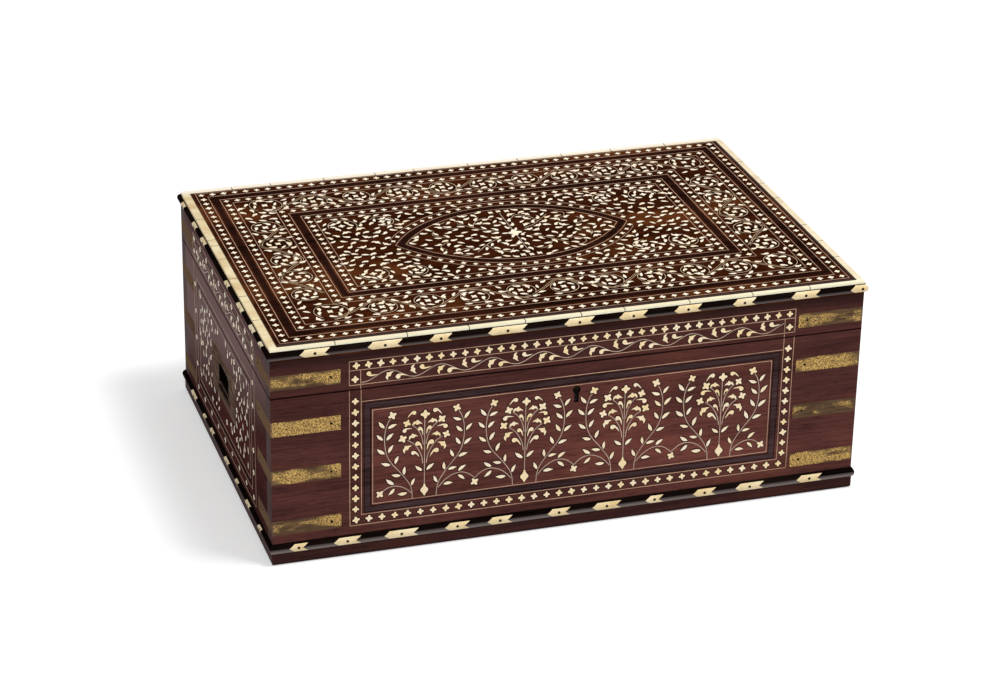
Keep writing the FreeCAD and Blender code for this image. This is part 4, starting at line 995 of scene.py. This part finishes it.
SCROLL_PLACES = [-168, -130, -95.3, -61, -25, 7.5, 43, 75, 110, 143, 178]
END_PLACES = [-64.8, -33, -1.1, 30, 62.5]
scroll(lid_top, SCROLL_PLACES, -98.5, False, False)
scroll(lid_top, SCROLL_PLACES, 104.0, False, False)
scroll(lid_top, END_PLACES, -176.5, True, True)
scroll(lid_top, END_PLACES, 179.0, True, False)
FIELD_CURLS = [(122, 46, 12, 3.9, -1, 230), (90, 47, 10, 0.6, 1, 250)]
OVAL_VINES = [[(12, 7), (19, 11), (26, 17), (36, 28)], [(26, 17), (22, 27), (13, 33), (8, 28)],
              [(36, 20), (46, 20), (50, 28), (44, 33)], [(52, 4), (60, 11), (57, 18)]]
for across in (1, -1):
    for along in (1, -1):
        def put(u, v):
            return OVAL_MIDDLE[0] + along * u, OVAL_MIDDLE[1] + across * v

        for u, v, radius, start, hand, sweep in FIELD_CURLS:
            turned = start if along > 0 else math.pi - start
            curl(lid_top, put(u, v), radius, turned if across > 0 else -turned, hand * along * across, sweep)
        for vine in OVAL_VINES:
            lid_top.line("scroll", *(put(u, v) for u, v in vine))
lid_top.lines["scroll_bed"] = lid_top.lines["scroll"] + lid_top.lines["stem"]
print("scrolls:", len(lid_top.lines["scroll_bed"]), "stems and curls")

# %% [markdown]
# One large flower marks the middle of the oval, with a thin stem above and below it that ends in a fan of
# three small flowers.

# %% The middle of the oval
centre = (OVAL_MIDDLE[0] + 1.8, OVAL_MIDDLE[1] + 0.3)
lid_top.bit("border_flower", *centre, span=2.3)
for side in (1, -1):
    lid_top.line("vine", (centre[0], centre[1] + side * 6), (centre[0], centre[1] + side * 39))
    for u in (-6.5, 0, 6.5):
        lid_top.bit("flower", centre[0] + u, centre[1] + side * (41.5 if u else 42.5), span=0.75)
print("centre flower at", [round(value, 1) for value in centre])

# %% [markdown]
# Leaves and drops crowd along the stems and fill what is left of the ground. A bit is only set where its middle
# stays clear of the others and of the stems. Points are kept in small squares to find neighbours fast.

# %% Filling the top
BIT_KINDS = {"drop_left": 4, "drop_right": 4, "leaf": 3, "trefoil_left": 0.8, "trefoil_right": 0.8}
CURL_ROOM, STEM_ROOM, FIELD_ROOM = (5.2, 1.9), (6.6, 2.1), (6.4, 1.7)
CURL_TRIES, CURL_ANGLE, CURL_RING = 24, 0.27, 0.6
FIELD_TRIES, STEM_SIDE, TOP_SPAN = 24000, 3.0, 0.9


class Crowd:
    """Points kept in squares, to see whether a new one has room."""

    def __init__(self, square):
        self.square, self.points = square, {}

    def add(self, u, v):
        self.points.setdefault((int(u // self.square), int(v // self.square)), []).append((u, v))

    def has_room(self, u, v, gap):
        column, row = int(u // self.square), int(v // self.square)
        near = (point for i in (-1, 0, 1) for j in (-1, 0, 1) for point in self.points.get((column + i, row + j), ()))
        return all(math.dist(point, (u, v)) >= gap for point in near)


bit_crowd, stem_crowd = Crowd(8.0), Crowd(8.0)
for bit in lid_top.bits:
    bit_crowd.add(*bit[1:3])
stem_points = []
for points in lid_top.lines["scroll_bed"] + lid_top.lines["vine"]:
    for (u0, v0), (u1, v1) in zip(points, points[1:]):
        steps = max(1, round(math.dist((u0, v0), (u1, v1)) / 1.5))
        for step in range(steps):
            share = step / steps
            place = (u0 + share * (u1 - u0), v0 + share * (v1 - v0), math.atan2(v1 - v0, u1 - u0))
            stem_points.append(place)
            stem_crowd.add(*place[:2])


def spacing(u, v):
    """How much room a bit needs here: more in the wide border than in the middle, and zero where none may lie."""
    def within(field):
        return field[0][0] < u < field[1][0] and field[0][1] < v < field[1][1]

    if within(fields[1]) and not within(fields[2]):
        return 1.12
    by_tip = abs(u - OVAL_MIDDLE[0]) > half_long
    in_middle = outside_oval(u, v, 7.0 if by_tip else 12.0) or not outside_oval(u, v, -OVAL_BAND - 3.0)
    return 1.0 if within(fields[3]) and in_middle else 0.0


def try_bit(u, v, turn, gap, stem_gap):
    """Set a leaf, drop or trefoil with its middle here, if there is room."""
    need = spacing(u, v)
    if need and bit_crowd.has_room(u, v, gap * need) and stem_crowd.has_room(u, v, stem_gap):
        kind = lid_top.chance.choices(list(BIT_KINDS), list(BIT_KINDS.values()))[0]
        half = 0.4 * leaf_length(kind)
        lid_top.bit(kind, u - half * math.cos(turn), v - half * math.sin(turn), turn, TOP_SPAN)
        bit_crowd.add(u, v)


before = len(lid_top.bits)
for (u, v), radius, start, hand in curls:
    reach = CURL_RING * radius
    for step in range(CURL_TRIES):
        angle = start + hand * CURL_ANGLE * step
        way = angle + hand * (math.pi / 2 + (0.7 if step % 2 else -0.4))
        try_bit(u + reach * math.cos(angle), v + reach * math.sin(angle), way, *CURL_ROOM)
for index, (u, v, way) in enumerate(stem_points):
    hand = 1 if index % 2 else -1
    side = way + hand * math.pi / 2
    try_bit(u + STEM_SIDE * math.cos(side), v + STEM_SIDE * math.sin(side), way + 0.4 * hand, *STEM_ROOM)
for _ in range(FIELD_TRIES):
    u, v = lid_top.chance.uniform(-200, 200), lid_top.chance.uniform(-125, 128)
    try_bit(u, v, lid_top.chance.choice((0.0, math.pi)) + lid_top.chance.uniform(-1.0, 1.0), *FIELD_ROOM)
print("top:", len(lid_top.bits), "bits,", len(lid_top.bits) - before, "of them fill the ground")

# %% [markdown]
# Now the drawings are made up. Points and lines become plain meshes, each one runs through its tree, is turned
# onto its face and joins the other pieces of its body. Strips lie a little lower than bits, as scraped inlay does.

# %% Making up a drawing
STEM_OFFSETS = (-0.8, 0.8)
string_wood = boned("stringing", (0.58, 0.36, 0.23), (0.34, 0.19, 0.12))
vine_wood = boned("vine_strip", (0.56, 0.43, 0.33), (0.36, 0.26, 0.20))
scroll_wood = boned("scroll_strip", (0.68, 0.44, 0.25), (0.40, 0.23, 0.11))
black_lac = wooden("black_lac", (0.004, 0.002, 0.0018), (0.014, 0.006, 0.005), (0.02, 0.008, 0.006), 0.5)
FINISH_OF = {"bone_bits": bone_inlay, "lac_edges": black_lac, "stringing": string_wood, "vines": vine_wood,
             "scrolls": scroll_wood, "scroll_beds": black_lac, "ebony_lines": band_wood, "end_lines": end_band_wood,
             "seam_line": black_lac}
stock = {}


def run_tree(tree, mesh, **settings):
    """The plain mesh that a tree makes of a drawn mesh."""
    drawn = show("drawn", mesh)
    modifier = drawn.modifiers.new("tree", "NODES")
    modifier.node_group = tree
    for item in tree.interface.items_tree:
        if item.in_out == "INPUT" and item.name in settings:
            modifier[item.identifier] = settings[item.name]
    graph = bpy.context.evaluated_depsgraph_get()
    made = bpy.data.meshes.new_from_object(drawn.evaluated_get(graph), depsgraph=graph)
    bpy.data.objects.remove(drawn)
    return made


def drawn_points(bits):
    """A mesh of loose points that carry the bits' values."""
    mesh = bpy.data.meshes.new("bit_points")
    mesh.from_pydata([(bit[1] * MM, bit[2] * MM, 0.0) for bit in bits], [], [])
    for name, column in (("kind", 0), ("turn", 3), ("span", 4), ("tone", 5)):
        attribute = mesh.attributes.new(name, "INT" if name == "kind" else "FLOAT", "POINT")
        attribute.data.foreach_set("value", [bit[column] for bit in bits])
    return mesh


def drawn_lines(lines):
    """A mesh of edges along the lines."""
    edges, start = [], 0
    for line in lines:
        edges += [(start + i, start + i + 1) for i in range(len(line) - 1)]
        start += len(line)
    mesh = bpy.data.meshes.new("strip_lines")
    mesh.from_pydata([(u * MM, v * MM, 0.0) for line in lines for u, v in line], edges, [])
    return mesh


def make_up(drawing, body, origin, right, up):
    """Make a drawing and turn it onto its face."""
    right, up = Vector(right), Vector(up)
    face = Matrix.Translation(origin) @ Matrix((right, up, right.cross(up))).transposed().to_4x4()
    made = [(piece, run_tree(set_bits, drawn_points(drawing.bits), Patterns=plates, Finish=FINISH_OF[piece]))
            for piece, plates in (("bone_bits", bone_plates), ("lac_edges", lac_plates))]
    for style, lines in drawing.lines.items():
        piece, width, thickness, smoothness = STRIPS[style]
        for offset in STEM_OFFSETS if style == "stem" else (0.0,):
            made.append((piece, run_tree(lay_strips, drawn_lines(lines), Width=width * MM, Thickness=thickness * MM,
                                         Offset=offset * MM, Smoothness=smoothness, Finish=FINISH_OF[piece])))
    for piece, mesh in made:
        mesh.transform(face)
        stock.setdefault((body, piece), bmesh.new()).from_mesh(mesh)


print("inlay pieces:", ", ".join(FINISH_OF))

# %% [markdown]
# The faces are read from the boards of the frame, so the inlay follows their real size. A thin black strip on
# the case is painted shadow for the gap of the seam under the lid. All that belongs to one body and one finish becomes
# a single piece.

# %% Laying the inlay
lid_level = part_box("lid_bone_banding")[1].z
seam = (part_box("base_front_board")[1].z - lid_level) / MM
FACES = [((0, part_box("base_front_board")[0].y), (1, 0, 0)), ((0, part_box("base_back_board")[1].y), (-1, 0, 0)),
         ((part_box("base_left_board")[0].x, 0), (0, -1, 0)), ((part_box("base_right_board")[1].x, 0), (0, 1, 0))]
HALF_WIDTHS = (225, 225, 149, 149)
case_drawings = (base_front, base_back, base_left, base_right)
# Along the seam a thin black strip is painted shadow of the gap under the lid.
for drawing, half in zip(case_drawings, HALF_WIDTHS):
    drawing.line("seam", (-half, seam), (half, seam))
make_up(lid_top, "lid", (0, 0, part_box("lid_top_panel")[1].z), (1, 0, 0), (0, 1, 0))
for body, drawings in (("base", case_drawings), ("lid", (lid_front, lid_back, lid_left, lid_right))):
    for drawing, ((x, y), right) in zip(drawings, FACES):
        make_up(drawing, body, (x, y, lid_level), right, (0, 0, 1))
for (body, kind), gathered in stock.items():
    mesh = bpy.data.meshes.new(f"{body}_{kind}")
    gathered.to_mesh(mesh)
    gathered.free()
    mesh.materials.clear()
    mesh.materials.append(FINISH_OF[kind])
    piece = show(mesh.name, mesh)
    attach(piece, body)
    mesh.calc_loop_triangles()
    print(piece.name, len(mesh.loop_triangles), "triangles", [round(value / MM, 2) for value in piece.dimensions])
